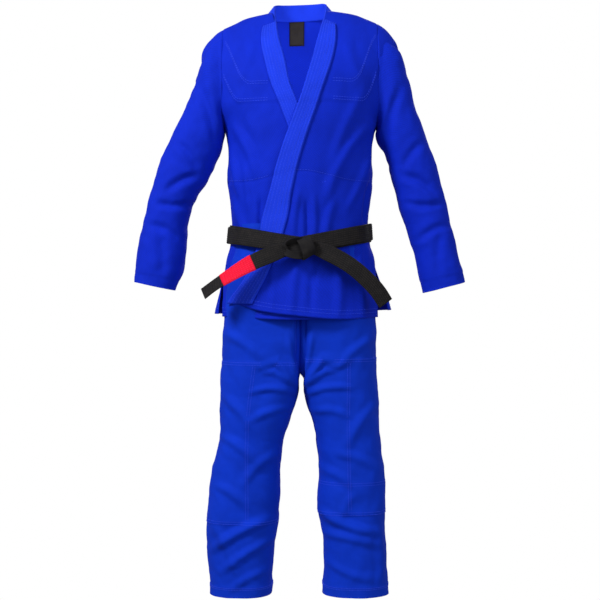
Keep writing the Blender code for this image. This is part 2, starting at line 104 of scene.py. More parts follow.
# The shoulders lean up a little towards the wearer's left
LEAN = 0.007
# Folds: from x, z to x, z, then half width, height and bow
FRONT_FOLDS = mm((
    (160, 245, 60, 60, 14, 7, 12), (168, 200, 110, 35, 11, 6, -6),
    (168, 110, 150, 0, 10, -8, 4), (145, 310, 70, 130, 15, 4.5, 8), (14, 48, 16, -50, 6, -7.5, 0),
    (-4, 70, -16, -45, 9, 5.5, 3), (31, 62, 31, -45, 9, 5.5, -2), (75, 50, 60, -35, 11, 4.5, 3),
    (-98.5, 60, -98.5, -45, 6, -8, 0), (-160, 60, -130, -30, 12, 5, 4),
    (-160, 240, -105, 110, 14, 6.5, -8), (-168, 190, -140, 50, 11, 6, 4),
    (-130, 140, -118, 20, 11, 5, 3), (-150, 330, -90, 190, 16, 3, 6),
    (110, 440, 150, 330, 18, 2.5, 4), (-110, 440, -160, 330, 18, 2.5, -4),
    (135, -60, 150, -225, 13, 7, 4), (85, -75, 90, -225, 14, 6.5, -3), (35, -85, 25, -215, 11, -5, 3),
    (-5, -95, -20, -225, 12, 5, 3), (-60, -85, -62, -215, 11, 3.5, 2), (175, -50, 182, -200, 9, 4, 2)))
BACK_FOLDS = mm((
    (145, 240, 40, 30, 16, 6, 10), (-145, 240, -40, 30, 16, 6, -10),
    (160, 170, 90, 10, 13, 5, 6), (-160, 170, -90, 10, 13, 5, -6), (12, 110, -4, -5, 14, 4.5, 2),
    (155, 330, 80, 200, 18, 4, 6), (-155, 330, -80, 200, 18, 4, -6), (100, -60, 120, -210, 14, 6, 4),
    (-100, -60, -115, -210, 14, 6, -4), (15, -70, 0, -215, 15, 5, 2), (55, -65, 62, -200, 10, 3.5, 2),
    (-50, -65, -58, -200, 10, 3.5, 2), (165, -55, 180, -205, 12, 4, 2),
    (-165, -55, -180, -205, 12, 4, 2)))


def smooth(low, high, value):
    """0 before low, 1 past high, and an even curve between; low may be the larger."""
    share = np.clip((np.asarray(value, float) - low) / (high - low), 0.0, 1.0)
    return share * share * (3.0 - 2.0 * share)


def along(stations, key):
    """The values of listed stations at an array of keys, on a smooth curve through them."""
    table = np.array(stations, float)
    keys = table[:, 0]
    slopes = np.gradient(table[:, 1:], keys, axis=0)
    key = np.clip(np.asarray(key, float), keys[0], keys[-1])
    index = np.clip(np.searchsorted(keys, key, side="right") - 1, 0, len(keys) - 2)
    width = (keys[index + 1] - keys[index])[..., None]
    share = (key[..., None] - keys[index][..., None]) / width
    start = table[index, 1:]
    rise = table[index + 1, 1:] - start
    leave = slopes[index] * width
    arrive = slopes[index + 1] * width
    return (start + leave * share + (3 * rise - 2 * leave - arrive) * share ** 2
            + (leave + arrive - 2 * rise) * share ** 3)


def folds(first, second, places):
    """Height of listed folds in the cloth: a ridge with a shallow valley on each side."""
    height = np.zeros(np.broadcast(first, second).shape)
    for a0, b0, a1, b1, width, rise, bow in places:
        run_a, run_b = a1 - a0, b1 - b0
        length = math.hypot(run_a, run_b)
        share = ((first - a0) * run_a + (second - b0) * run_b) / length ** 2
        off = ((first - a0) * run_b - (second - b0) * run_a) / length
        off = off - bow * np.sin(np.pi * np.clip(share, 0.0, 1.0))
        ends = smooth(-0.18, 0.25, share) * smooth(1.18, 0.7, share)
        height += rise * ends * (1.0 - 0.8 * (off / width) ** 2) * np.exp(-(off / width) ** 2)
    return height


def rumple(first, second, size, seed):
    """Soft, uneven waves about as long as size, the same on every run."""
    random = np.random.default_rng(seed)
    total = np.zeros(np.broadcast(first, second).shape)
    for octave in range(4):
        turn, phase, drift = random.uniform(0.0, 2.0 * math.pi, 3)
        wave = 2.0 * math.pi / (size * 0.6 ** octave)
        warp = np.sin((first * math.sin(turn) - second * math.cos(turn)) * wave * 0.43 + drift)
        total += 0.55 ** octave * np.sin((first * math.cos(turn) + second * math.sin(turn)) * wave
                                         + phase + 1.7 * warp)
    return total / 2.0


def lengths(path):
    """How far along a path each of its points lies."""
    return np.concatenate([[0.0], np.cumsum(np.linalg.norm(np.diff(path, axis=0), axis=1))])


def unit(vectors):
    """Vectors of length 1."""
    return vectors / np.maximum(np.linalg.norm(vectors, axis=-1, keepdims=True), 1e-12)


def normals_of(surface, first, second, step=0.0008):
    """Unit normals of a surface of two parameters."""
    across = surface(first + step, second) - surface(first - step, second)
    upward = surface(first, second + step) - surface(first, second - step)
    return unit(np.cross(across, upward))


def body_form(angle, height):
    """The jacket's smooth shape; angle 0 is the middle of the front, 90 degrees the left side."""
    section = along(BODY_SECTIONS, height)
    depth = np.where(np.cos(angle) > 0, section[..., 1], section[..., 2])
    x = section[..., 0] * np.sin(angle)
    lean = LEAN * x / ARMHOLE_X * smooth(0.25, 0.45, height)
    return np.stack([x, -depth * np.cos(angle), WAIST[2] + height + lean], -1)


def side_angle(height):
    """Where a front meets the back: at the side seam, the armhole or the shoulder seam."""
    return np.arcsin(np.minimum(1.0, ARMHOLE_X / along(BODY_SECTIONS, height)[..., 0]))


def crossing_lift(angle, height):
    """How far the left front stands off to pass over the right one."""
    outer = np.minimum(CROSSING_OUTER, side_angle(height))
    return CROSSING_LIFT * smooth(outer, outer - CROSSING_FADE, angle) * smooth(*CROSSING_HEIGHTS, height)


# Patches and hems are a second layer of cloth: where each one lies, and how far it stands up
LAYER = 0.0016
YOKE_HEIGHT = 0.405
PATCH_LOW = 0.291
SKIRT_SEAM = (0.111, 0.011, 0.135)
HEM_DEPTH = 0.012


def seam_dip(distance, width=0.0035, depth=0.0013):
    """The shallow groove that a seam pulls into the cloth."""
    return -depth * np.exp(-(distance / width) ** 2)


def skirt_seam(x):
    """Height of the seam between chest and skirt: it dips towards the sides."""
    return SKIRT_SEAM[0] + SKIRT_SEAM[1] * np.cos(math.pi * x / SKIRT_SEAM[2])


def shoulder_curve(x):
    """Height of the lower edge of the shoulder patch above its level part: it turns up at the arm."""
    return 0.12 * smooth(0.135, 0.215, np.abs(x)) ** 1.5


def jacket_surface(panel, angle, height, lift=0.0):
    """A point of the finished jacket: its form with lift, folds, patches and seams."""
    form = body_form(angle, height)
    x = form[..., 0]
    if panel == "back":
        rise = folds(x, height, BACK_FOLDS) + 0.0016 * rumple(x, height, 0.11, 7)
        rise = rise + LAYER * smooth(YOKE_HEIGHT - 0.002, YOKE_HEIGHT + 0.002, height)
        flare = np.where(x > 0, 0.03, 0.01) * smooth(-0.09, -0.23, height)
        form = form + np.stack([flare * np.sin(angle), 0 * x, 0 * x], -1)
    else:
        rise = folds(x, height, FRONT_FOLDS) + 0.0014 * rumple(x, height, 0.1, 11 if panel == "left" else 5)
        low_edge = height - PATCH_LOW - shoulder_curve(x)
        rise = rise + LAYER * smooth(-0.002, 0.002, low_edge)
        rise = rise + seam_dip(height - skirt_seam(x))
        if panel == "left":
            rise = rise + crossing_lift(angle, height)
    rise = rise * smooth(BODY_TOP + 0.001, BODY_TOP - 0.02, height) + lift
    return form + normals_of(body_form, angle, height) * rise[..., None]


def panel_grid(panel, rows, columns):
    """Angles and heights of a panel's grid, from its hem to its top."""
    v = np.linspace(0.0, 1.0, rows)[:, None]
    u = np.linspace(0.0, 1.0, columns)[None, :]
    height = np.broadcast_to(-0.22 + (BODY_TOP + 0.22) * v, (rows, columns))
    for _ in range(3):
        half = along(BODY_SECTIONS, height)[..., 0]
        limit = side_angle(height)
        if panel == "back":
            angle = math.pi - (1.0 - 2.0 * u) * (math.pi - limit)
        else:
            side, edge = SIGN[panel], along(EDGES[panel], height)[..., 0]
            start = side * np.arcsin(np.clip((edge + 0.004 * side) / half, -1.0, 1.0))
            angle = side * (start + (limit - start) * u)
        hem = along(HEMS[panel], half * np.sin(angle))[..., 0]
        height = hem + (BODY_TOP - hem) * v
    return angle, height


def settle(piece):
    """Applies a piece's modifiers to its mesh."""
    bpy.context.view_layer.update()
    evaluated = piece.evaluated_get(bpy.context.evaluated_depsgraph_get())
    mesh = bpy.data.meshes.new_from_object(evaluated)
    piece.modifiers.clear()
    piece.data = mesh


def cloth_metres(points, ring=False):
    """UVs of a grid: metres of cloth along its middle row and its middle column."""
    closed = np.concatenate([points, points[:, :1]], 1) if ring else points
    steps = np.linalg.norm(np.diff(closed, axis=1), axis=-1).mean(0)
    rises = np.linalg.norm(np.diff(points, axis=0), axis=-1).mean(1)
    u = np.concatenate([[0.0], np.cumsum(steps)])
    v = np.concatenate([[0.0], np.cumsum(rises)])
    return np.stack(np.meshgrid(u, v), -1)


def smooth_mesh(name, points, faces, look, uv=None):
    """A smooth-shaded mesh; face corners past the end of its UVs get 0."""
    mesh = bpy.data.meshes.new(name)
    mesh.from_pydata(points.tolist(), [], faces)
    layer = mesh.uv_layers.new(name="cloth")
    if uv is not None:
        values = np.zeros(len(mesh.loops) * 2, np.float32)
        values[:len(uv)] = uv
        layer.uv.foreach_set("vector", values)
    mesh.shade_smooth()
    mesh.materials.append(look)
    return mesh


def corner_uv(mesh):
    """The UVs of a mesh's face corners, in one row."""
    values = np.zeros(len(mesh.loops) * 2, np.float32)
    mesh.uv_layers[0].uv.foreach_get("vector", values)
    return values


def shown(name, mesh):
    """Puts a mesh into the scene."""
    piece = bpy.data.objects.new(name, mesh)
    bpy.context.scene.collection.objects.link(piece)
    return piece


def grid_mesh(name, points, metres, look, ring=False, outward=True):
    """A mesh piece through a grid of points, with its UVs in metres of cloth."""
    rows, columns = points.shape[:2]
    index = np.arange(rows * columns).reshape(rows, columns)
    if ring:
        index = np.hstack([index, index[:, :1]])
    quads = np.stack([index[:-1, :-1], index[:-1, 1:], index[1:, 1:], index[1:, :-1]], -1)
    corners = np.stack([metres[:-1, :-1], metres[:-1, 1:], metres[1:, 1:], metres[1:, :-1]], 2)
    if not outward:
        quads = quads[..., ::-1]
        corners = corners[..., ::-1, :]
    mesh = smooth_mesh(name, points.reshape(-1, 3), quads.reshape(-1, 4).tolist(), look, corners.reshape(-1))
    return shown(name, mesh)


def cloth_piece(name, points, look, thickness=CLOTH, ring=False, outward=True):
    """A sheet through a grid of points, thickened on its outside."""
    piece = grid_mesh(name, points, cloth_metres(points, ring), look, ring, outward)
    wall = piece.modifiers.new("wall", "SOLIDIFY")
    wall.thickness = thickness
    wall.offset = 1.0
    settle(piece)
    return piece


def linear(hex_colour):
    """An sRGB hex colour as linear RGBA."""
    values = [int(hex_colour[place:place + 2], 16) / 255.0 for place in (0, 2, 4)]
    return [value / 12.92 if value <= 0.04045 else ((value + 0.055) / 1.055) ** 2.4
            for value in values] + [1.0]


def add(tree, kind, inputs, **settings):
    """Adds a node with its settings, and its inputs as values or as links from other sockets."""
    made = tree.nodes.new("ShaderNode" + kind)
    for setting, value in settings.items():
        setattr(made, setting, value)
    for socket, value in inputs.items():
        if isinstance(value, bpy.types.NodeSocket):
            tree.links.new(value, made.inputs[socket])
        else:
            made.inputs[socket].default_value = value
    return made


def matt_cloth(name, roughness, sheen, sheen_tint):
    """A Principled material for matt cloth, with its tree, its shader and the cloth's metres."""
    made = bpy.data.materials.new(name)
    made.use_nodes = True
    tree = made.node_tree
    shader = tree.nodes["Principled BSDF"]
    shader.inputs["Roughness"].default_value = roughness
    shader.inputs["Specular IOR Level"].default_value = 0.1
    shader.inputs["Sheen Weight"].default_value = sheen
    shader.inputs["Sheen Roughness"].default_value = 0.4
    shader.inputs["Sheen Tint"].default_value = linear(sheen_tint)
    metres = add(tree, "TexCoord", {}).outputs["UV"]
    return made, tree, shader, metres


def cover(tree, shader, colour, height, strength, depth, invert=False):
    """Gives a cloth its colour and the relief of its yarns."""
    tree.links.new(colour, shader.inputs["Base Color"])
    bump = add(tree, "Bump", {"Height": height, "Strength": strength, "Distance": depth},
               invert=invert)
    tree.links.new(bump.outputs[0], shader.inputs["Normal"])


def blotches(tree, metres, scale, roughness=0.5, detail=4.0, low=0.3, high=0.7, start=0.0, end=1.0):
    """A soft noise over the cloth, spread between two values."""
    noise = add(tree, "TexNoise", {"Vector": metres, "Scale": scale, "Detail": detail,
                                             "Roughness": roughness})
    return add(tree, "MapRange", {"Value": noise.outputs[0], "From Min": low, "From Max": high,
                                            "To Min": start, "To Max": end}).outputs[0]


def mixed(tree, share, first, second):
    """One colour turning into another by a share."""
    return add(tree, "Mix", {0: share, 6: linear(first), 7: linear(second)},
               data_type="RGBA").outputs[2]


def shaded(tree, colour, value):
    """A colour made lighter or darker."""
    return add(tree, "HueSaturation", {"Color": colour, "Value": value}).outputs[0]


def bands(tree, metres, spacing, **settings):
    """Yarns or ribs in bands, at a spacing in metres."""
    waves = {"Vector": metres, "Scale": 0.314 / spacing}
    waves.update(settings.pop("inputs", {}))
    return add(tree, "TexWave", waves, wave_type="BANDS", **settings).outputs["Fac"]


def pearl_weave(name, colour, pit_shade):
    """Cotton pearl weave: fat yarns crossing in rows of small domes. The real domes are 2 to 3 mm
    apart and are drawn 4 mm apart, so that they just show; the pits between them are painted darker, as
    shade."""
    made, tree, shader, metres = matt_cloth(name, 0.8, 0.04, "5064FF")
    turned = add(tree, "Mapping", {"Vector": metres, "Rotation": (0, 0, math.radians(45))})
    domes = add(tree, "TexVoronoi", {"Vector": turned.outputs[0], "Scale": 1.0 / 0.004,
                                               "Randomness": 0.2}, voronoi_dimensions="2D")
    yarn = add(tree, "TexNoise", {"Vector": metres, "Scale": 400.0, "Detail": 2.0})
    faded = blotches(tree, metres, 8.0, 0.6, 5.0, start=0.9, end=1.1)
    # Painted shade: away from each dome's middle the colour turns to the darker pit colour, as shade in the
    # pits between the domes
    deep = add(tree, "MapRange", {"Value": domes.outputs["Distance"], "From Min": 0.25,
                                            "From Max": 0.75, "To Max": 0.7})
    height = add(tree, "Math", {0: domes.outputs["Distance"], 1: yarn.outputs[0]},
                 operation="SUBTRACT").outputs[0]
    cover(tree, shader, shaded(tree, mixed(tree, deep.outputs[0], colour, pit_shade), faded), height, 0.5,
          0.0007, invert=True)
    return made


def stitch_thread(name, colour):
    """Polyester sewing thread: smoother than the cotton, so that each stitch catches the light."""
    made, tree, shader, metres = matt_cloth(name, 0.55, 0.0, "FFFFFF")
    ply = blotches(tree, metres, 900.0, 0.5, 2.0, 0.0, 1.0, 0.8, 1.2)
    tree.links.new(shaded(tree, linear(colour), ply), shader.inputs["Base Color"])
    return made


STITCH_LENGTH = 0.005
STITCH_GAP = 0.0018
STITCH_RADIUS = 0.00055


def stitches(name, rows, look, length=STITCH_LENGTH):
    """Rows of machine stitches, each a short thread half sunk in the cloth. A row is its points
    and their outward normals. Real stitches are 3 to 4 mm long and are drawn 5 mm long."""
    verts, quads, base = [], [], 0
    for path, up in rows:
        travelled = lengths(path)
        starts = np.arange(0.002, travelled[-1] - length, length + STITCH_GAP)
        at = starts[:, None] + length * np.array([0.0, 0.2, 0.5, 0.8, 1.0])[None, :]
        centre = np.stack([np.interp(at, travelled, path[:, axis]) for axis in range(3)], -1)
        lift = np.stack([np.interp(at, travelled, up[:, axis]) for axis in range(3)], -1)
        heading = centre[:, -1:] - centre[:, :1]
        across = np.cross(lift, heading)
        across = across / np.maximum(np.linalg.norm(across, axis=-1, keepdims=True), 1e-9)
        bulge = np.array([-0.7, 0.35, 0.6, 0.35, -0.7])[None, :, None]
        spins = [math.radians(turn) for turn in (45, 135, 225, 315)]
        block = np.stack([centre + STITCH_RADIUS * (lift * (bulge + math.sin(spin))
                                                    + across * math.cos(spin)) for spin in spins], 2)
        index = np.arange(block.size // 3).reshape(block.shape[:3]) + base
        rolled = np.roll(index, -1, axis=2)
        quads.append(np.stack([index[:, :-1], rolled[:, :-1], rolled[:, 1:], index[:, 1:]], -1))
        quads.append(np.stack([index[:, 0, ::-1], index[:, -1, :]], 1))
        verts.append(block.reshape(-1, 3))
        base += index.size
    faces = np.concatenate([block.reshape(-1, 4) for block in quads])
    return shown(name, smooth_mesh(name, np.concatenate(verts), faces.tolist(), look))


def row_on(surface, first, second, lift):
    """A stitch row's points and normals on a surface of two parameters."""
    points = surface(first, second)
    normal = normals_of(surface, first, second, 0.003)
    return points + normal * lift, normal


# The second colour is painted shade for the pits between the domes of the weave
blue_pearl = pearl_weave("blue_cotton_pearl_weave", "0829C4", "041C98")
blue_thread = stitch_thread("blue_polyester_thread", "3450E8")

jacket_stitch_rows = []
for panel in ("back", "left", "right"):
    rows = int((BODY_TOP + 0.22) / CELL)
    columns = 130 if panel == "back" else 84
    angle, height = panel_grid(panel, rows, columns)
    points = jacket_surface(panel, angle, height)
    name = "jacket_back" if panel == "back" else f"jacket_front_{panel}"
    piece = cloth_piece(f"{name}_cloth", points, blue_pearl, outward=panel != "right")
    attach(piece, "jacket")
    if panel == "back":
        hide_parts("jacket_back", "back_yoke", "vent_patch_left", "vent_patch_right")
    else:
        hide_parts(name, f"shoulder_patch_{panel}")
    # Double stitching above the hem
    for inset in (3, 5):
        jacket_stitch_rows.append(row_on(lambda a, h: jacket_surface(panel, a, h), angle[inset],
                                         height[inset], CLOTH))

for panel, side in SIDES:
    surface = lambda a, h, panel=panel: jacket_surface(panel, a, h)
    x = np.linspace(0.075, 0.186, 40)
    for rise in (0.0035, 0.0095, 0.046, 0.052):
        low = PATCH_LOW + shoulder_curve(x if rise < 0.02 else x + 0.022) + rise
        turn = side * np.arcsin(np.minimum(0.99, x / along(BODY_SECTIONS, low)[..., 0]))
        jacket_stitch_rows.append(row_on(surface, turn, low, CLOTH))
    x = np.linspace(-0.06 if panel == "left" else 0.075, 0.176, 60)
    low = skirt_seam(x) + 0.004
    turn = side * np.arcsin(np.minimum(0.99, x / along(BODY_SECTIONS, low)[..., 0]))
    jacket_stitch_rows.append(row_on(surface, turn, low, CLOTH))
for rise in (0.004, 0.01):
    turn = np.linspace(math.pi - 0.86, math.pi + 0.86, 120)
    jacket_stitch_rows.append(row_on(lambda a, h: jacket_surface("back", a, h), turn,
                                     YOKE_HEIGHT + rise + 0 * turn, CLOTH))
piece = stitches("jacket_stitching", jacket_stitch_rows, blue_thread)
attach(piece, "jacket")

# ------------------------------------------------------------
# Collar band: one long strip of twill folded over a rubber core, quilted with rows of stitching.
# It runs from the hem up one lapel, stands behind the neck, and comes down the other lapel.
# ------------------------------------------------------------

BAND_THICKNESS = 0.0062
BAND_ROWS = 6
# Round the neck, from the middle of the back: upper or inner edge, then lower or outer edge
NECK_STATIONS = mm((
    ((0, 44, 559.5), (0, 56, 519)), ((24, 42, 559.2), (30, 53.5, 519.2)),
    ((44, 34.5, 558.2), (57, 44, 519.8)), ((58.5, 21.5, 556), (76.5, 26.5, 520.5)),
    ((62.5, 4, 548), (87, 4, 518.5)), ((61.5, -13, 533), (91, -18, 508)),
    ((59, -29, 515), (90, -35, 493))))
LAPEL_TOP = 0.478
LAPEL_SPANS = mm((
    (-240, 62), (-189, 59), (-149, 50), (-30, 54), (12.5, 58), (75, 51),
    (137.5, 49), (300, 45), (455, 44), (489, 34), (520, 22)))


def strap(name, middle, across, up, width, thickness, ribs, look, closed=False, rib_depth=0.0005):
    """A flat strap along a line of points, with ribs between its rows of stitching and round edges."""
    count = 6 * ribs + 1
    share = np.linspace(-1.0, 1.0, count)
    swell = np.sqrt(np.maximum(0.0, 1.0 - share ** 8)) * thickness / 2.0
    groove = rib_depth * (1.0 - np.abs(np.sin(share * ribs * math.pi / 2.0))) ** 2
    top = np.stack([share, swell - groove], -1)
    bottom = np.stack([share[::-1], -swell[::-1]], -1)[1:-1]
    profile = np.concatenate([top, bottom])
    half = (np.asarray(width, float) / 2.0 + np.zeros(len(middle)))[:, None, None]
    grid = (middle[:, None] + across[:, None] * half * profile[None, :, :1]
            + up[:, None] * profile[None, :, 1:])
    if closed:
        grid = np.concatenate([grid, grid[:1]])
    piece = grid_mesh(name, grid, cloth_metres(grid, ring=True), look, ring=True)
    if not closed:
        length = grid.shape[1]
        last = (len(grid) - 1) * length
        faces = [list(face.vertices) for face in piece.data.polygons]
        faces += [list(range(length))[::-1], list(range(last, last + length))]
        piece.data = smooth_mesh(name, grid.reshape(-1, 3), faces, look, corner_uv(piece.data))
    piece.data.validate()
    turn_outward(piece)
    return piece


def turn_outward(piece):
    """Makes a closed mesh's faces look outward."""
    form = bmesh.new()
    form.from_mesh(piece.data)
    bmesh.ops.recalc_face_normals(form, faces=form.faces)
    form.to_mesh(piece.data)
    form.free()


def lapel_edges(panel, heights):
    """The inner and outer edges of a lapel, just above its front."""
    side = SIGN[panel]
    half = along(BODY_SECTIONS, heights)[..., 0]
    edge = along(EDGES[panel], heights)[..., 0]
    span = along(LAPEL_SPANS, heights)[..., 0] * side
    result = []
    for x in (edge, edge + span):
        turn = side * np.arcsin(np.clip(x / half, -0.999, 0.999))
        result.append(jacket_surface(panel, turn * side, heights, CLOTH + BAND_THICKNESS * 0.5))
    return result


def half_band(panel):
    """A half of the band from the middle of the back to its hem: inner and outer edge points."""
    side = SIGN[panel]
    hem = along(HEMS[panel], -0.14 * side)[..., 0] + 0.002
    heights = np.linspace(LAPEL_TOP, hem, 60)
    inner, outer = lapel_edges(panel, heights)
    neck = np.array(NECK_STATIONS) * np.array([side, 1.0, 1.0]) + np.array([0.0, 0.0, WAIST[2]])
    lean = LEAN * neck[..., 0] / ARMHOLE_X
    neck[..., 2] += lean
    return np.concatenate([neck[:, 0], inner]), np.concatenate([neck[:, 1], outer])


def even_band(inner, outer, step=0.0045):
    """Resamples both edges at the same even steps along the middle."""
    middle = (inner + outer) / 2.0
    keys = lengths(middle)
    at = np.arange(0.0, keys[-1] + 1e-9, step)
    at = np.append(at[:-1], keys[-1])
    table = np.concatenate([keys[:, None], inner, outer], 1)
    values = along(table, at)
    return values[:, :3], values[:, 3:]


left_inner, left_outer = half_band("left")
right_inner, right_outer = half_band("right")
band_inner, band_outer = even_band(np.concatenate([left_inner[::-1], right_inner[1:]]),
                                   np.concatenate([left_outer[::-1], right_outer[1:]]))
band_middle = (band_inner + band_outer) / 2.0
band_across = unit(band_outer - band_inner)
band_along = unit(np.gradient(band_middle, axis=0))
band_up = unit(np.cross(band_across, band_along))


def quilted_twill(name, colour, deep):
    """Cotton twill: fine ribs run slantwise over the cloth. Real ribs are about 1 mm apart and are
    drawn 2.6 mm apart, so that they show as a faint slant."""
    made, tree, shader, metres = matt_cloth(name, 0.8, 0.01, "4A5CFF")
    turned = add(tree, "Mapping", {"Vector": metres, "Rotation": (0, 0, math.radians(35))})
    ribs = bands(tree, turned.outputs[0], 0.0026, inputs={"Distortion": 0.8, "Detail": 2.0})
    slub = add(tree, "TexNoise", {"Vector": metres, "Scale": 260.0, "Detail": 3.0})
    faded = blotches(tree, metres, 11.0, 0.62, 5.0, start=0.9, end=1.1)
    rib_shade = add(tree, "MapRange", {"Value": ribs, "To Max": 0.35}).outputs[0]
    height = add(tree, "Math", {0: ribs, 1: slub.outputs[0]}, operation="ADD").outputs[0]
    cover(tree, shader, shaded(tree, mixed(tree, rib_shade, colour, deep), faded), height, 0.35, 0.0005)
    return made


lapel_twill = quilted_twill("blue_lapel_twill", "1A3CDE", "0C26B8")
piece = strap("collar_band", band_middle, band_across, band_up,
              np.linalg.norm(band_outer - band_inner, axis=1), BAND_THICKNESS, BAND_ROWS, lapel_twill)
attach(piece, "jacket")
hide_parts("collar_core", "collar_cover", "lapel_core_left", "lapel_cover_left",
            "lapel_core_right", "lapel_cover_right")

band_rows = []
for row in range(BAND_ROWS + 1):
    share = -0.84 + 1.68 * row / BAND_ROWS
    path = band_middle + band_across * (np.linalg.norm(band_outer - band_inner, axis=1) * share / 2)[:, None]
    band_rows.append((path + band_up * (BAND_THICKNESS * 0.46), band_up))
piece = stitches("collar_band_stitching", band_rows, blue_thread)
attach(piece, "jacket")

# ------------------------------------------------------------
# Neck label: a blank black woven tag sewn inside the back, just below the collar.
# ------------------------------------------------------------

LABEL_HALF_WIDTH = 0.019
LABEL_HEIGHTS = (0.463, 0.519)


def woven_satin(name, colour):
    """Black woven satin: smooth, with a soft gloss and a fine crosswise rib."""
    made, tree, shader, metres = matt_cloth(name, 0.5, 0.0, "FFFFFF")
    rib = bands(tree, metres, 0.0012, bands_direction="Y")
    dust = blotches(tree, metres, 120.0, 0.5, 4.0, 0.0, 1.0, 0.7, 1.35)
    cover(tree, shader, shaded(tree, linear(colour), dust), rib, 0.3, 0.0002)
    return made


label_height = np.linspace(*LABEL_HEIGHTS, 14)[:, None]
label_x = np.linspace(LABEL_HALF_WIDTH, -LABEL_HALF_WIDTH, 12)[None, :] - 0.008
label_turn = math.pi - np.arcsin(label_x / along(BODY_SECTIONS, label_height)[..., 0])
label_points = jacket_surface("back", label_turn, label_height + 0 * label_x, -0.0016)
piece = cloth_piece("neck_label_tag", label_points, woven_satin("black_woven_satin", "26211F"),
                    0.0006, outward=False)
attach(piece, "jacket")
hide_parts("neck_label")

# ------------------------------------------------------------
# Sleeves: one tube of pearl weave each, from the armhole to a doubled cuff, with a gusset under
# the arm. Each is drawn as an upper and a lower half.
# ------------------------------------------------------------

# From armhole to cuff: outer x and z, inner x and z, half depth
SLEEVE_RINGS = {
    "right": mm((
        (190, 462, 190, 242, 68), (233, 433, 188, 229, 71),
        (256, 366, 192, 206, 68), (281, 302, 197, 180, 66), (319, 226, 210, 156, 65),
        (348, 160, 226, 115, 63), (371.5, 84, 262, 62, 60), (389, 14, 281.5, -4, 57),
        (406, -60, 285, -76, 54), (414.5, -142.5, 310, -164, 50))),
    "left": mm((
        (190, 466, 190, 240, 68), (246, 430, 188, 226, 71),
        (270.5, 364, 195, 204, 68), (286, 300, 210, 178, 66), (312, 225, 223.5, 138, 64),
        (340, 148, 236.5, 86, 62), (361.5, 66, 252, 30, 59), (375, 10, 268, -18, 57),
        (392, -60, 286, -78, 54), (413, -142.5, 305, -170, 50))),
}
SLEEVE_SPLIT = 5.0
SLEEVE_END = 9.0
SLEEVE_SQUARENESS = 2.25
CUFF_DEPTH = 0.3
FOLD_GAIN = 1.25
# Folds on the front of each sleeve: from x, z to x, z, half width, height and bow
SLEEVE_FRONT_FOLDS = {
    "right": mm((
        (250, 375, 212, 215, 17, -22, 4), (272, 172, 232, 164, 11, 10, 4),
        (272, 148, 236, 142, 8, -8, 4), (312, 96, 222, 126, 13, 11, -6),
        (345, 55, 262, 82, 12, 10, 6), (330, 75, 245, 104, 8, -6.5, 0),
        (252, 330, 205, 190, 13, 6, 6), (340, 140, 290, 30, 16, 6, 10),
        (305, 30, 328, -170, 13, 10, -6), (292, 0, 300, -130, 10, -6, 0),
        (385, 20, 310, -30, 13, 6, 8), (395, -50, 300, -80, 12, 4.5, -6),
        (350, -10, 372, -130, 12, 4, 4))),
    "left": mm((
        (236, 350, 208, 225, 15, -20, 3), (270, 190, 225, 150, 10, 11, -4),
        (260, 165, 265, 105, 8, -8, -3), (335, 85, 250, 100, 11, 10, 6),
        (345, 35, 262, 42, 12, 9, -6), (340, 62, 262, 72, 7, -5.5, 0),
        (262, 300, 212, 180, 12, 5.5, 6), (300, 190, 262, 100, 13, 6, 6),
        (360, 20, 290, -20, 12, 6, 8), (318, 10, 322, -120, 13, 5.5, -6),
        (390, -30, 310, -90, 13, 4.5, 6))),
}
SLEEVE_BACK_FOLDS = mm((
    (330, 80, 250, 120, 14, 7.5, 6), (350, 50, 265, 50, 12, 6.5, -6),
    (250, 340, 208, 200, 15, 6, 6), (300, 200, 250, 130, 14, 5.5, 6), (370, 0, 290, -40, 13, 5.5, 6),
    (345, -20, 340, -130, 15, 4.5, 4)))


def oval(turn, squareness):
    """A superellipse: cosine and sine of a turn, squared off."""
    cosine, sine = np.cos(turn), np.sin(turn)
    power = 2.0 / squareness
    return np.sign(cosine) * np.abs(cosine) ** power, np.sign(sine) * np.abs(sine) ** power


def sleeve_form(word, turn, ring):
    """A sleeve's smooth shape: turn 0 is its outer edge, 270 degrees its front."""
    table = [(index, *values) for index, values in enumerate(SLEEVE_RINGS[word])]
    row = along(table, ring)
    side = SIGN[word]
    wide, deep = oval(turn, SLEEVE_SQUARENESS)
    x = (row[..., 0] + row[..., 2]) / 2 + (row[..., 0] - row[..., 2]) / 2 * wide
    z = (row[..., 1] + row[..., 3]) / 2 + (row[..., 1] - row[..., 3]) / 2 * wide
    # The armhole end closes towards the depth of the shoulder at that height
    shoulder = np.interp(z, [s[0] for s in BODY_SECTIONS], [s[2] for s in BODY_SECTIONS])
    slope = np.sqrt(np.maximum(0.0, 1.0 - (ARMHOLE_X / np.interp(
        z, [s[0] for s in BODY_SECTIONS], [s[1] for s in BODY_SECTIONS])) ** 2))
    meet = smooth(1.6, 0.0, ring)
    depth = row[..., 4] * deep
    at_body = np.clip(shoulder * slope, 0.0, 0.09) * np.sign(deep) * np.minimum(1.0, np.abs(deep) * 4.0)
    depth = depth * (1.0 - meet) + at_body * meet
    return np.stack([side * x, depth + WAIST[1], z + WAIST[2]], -1)


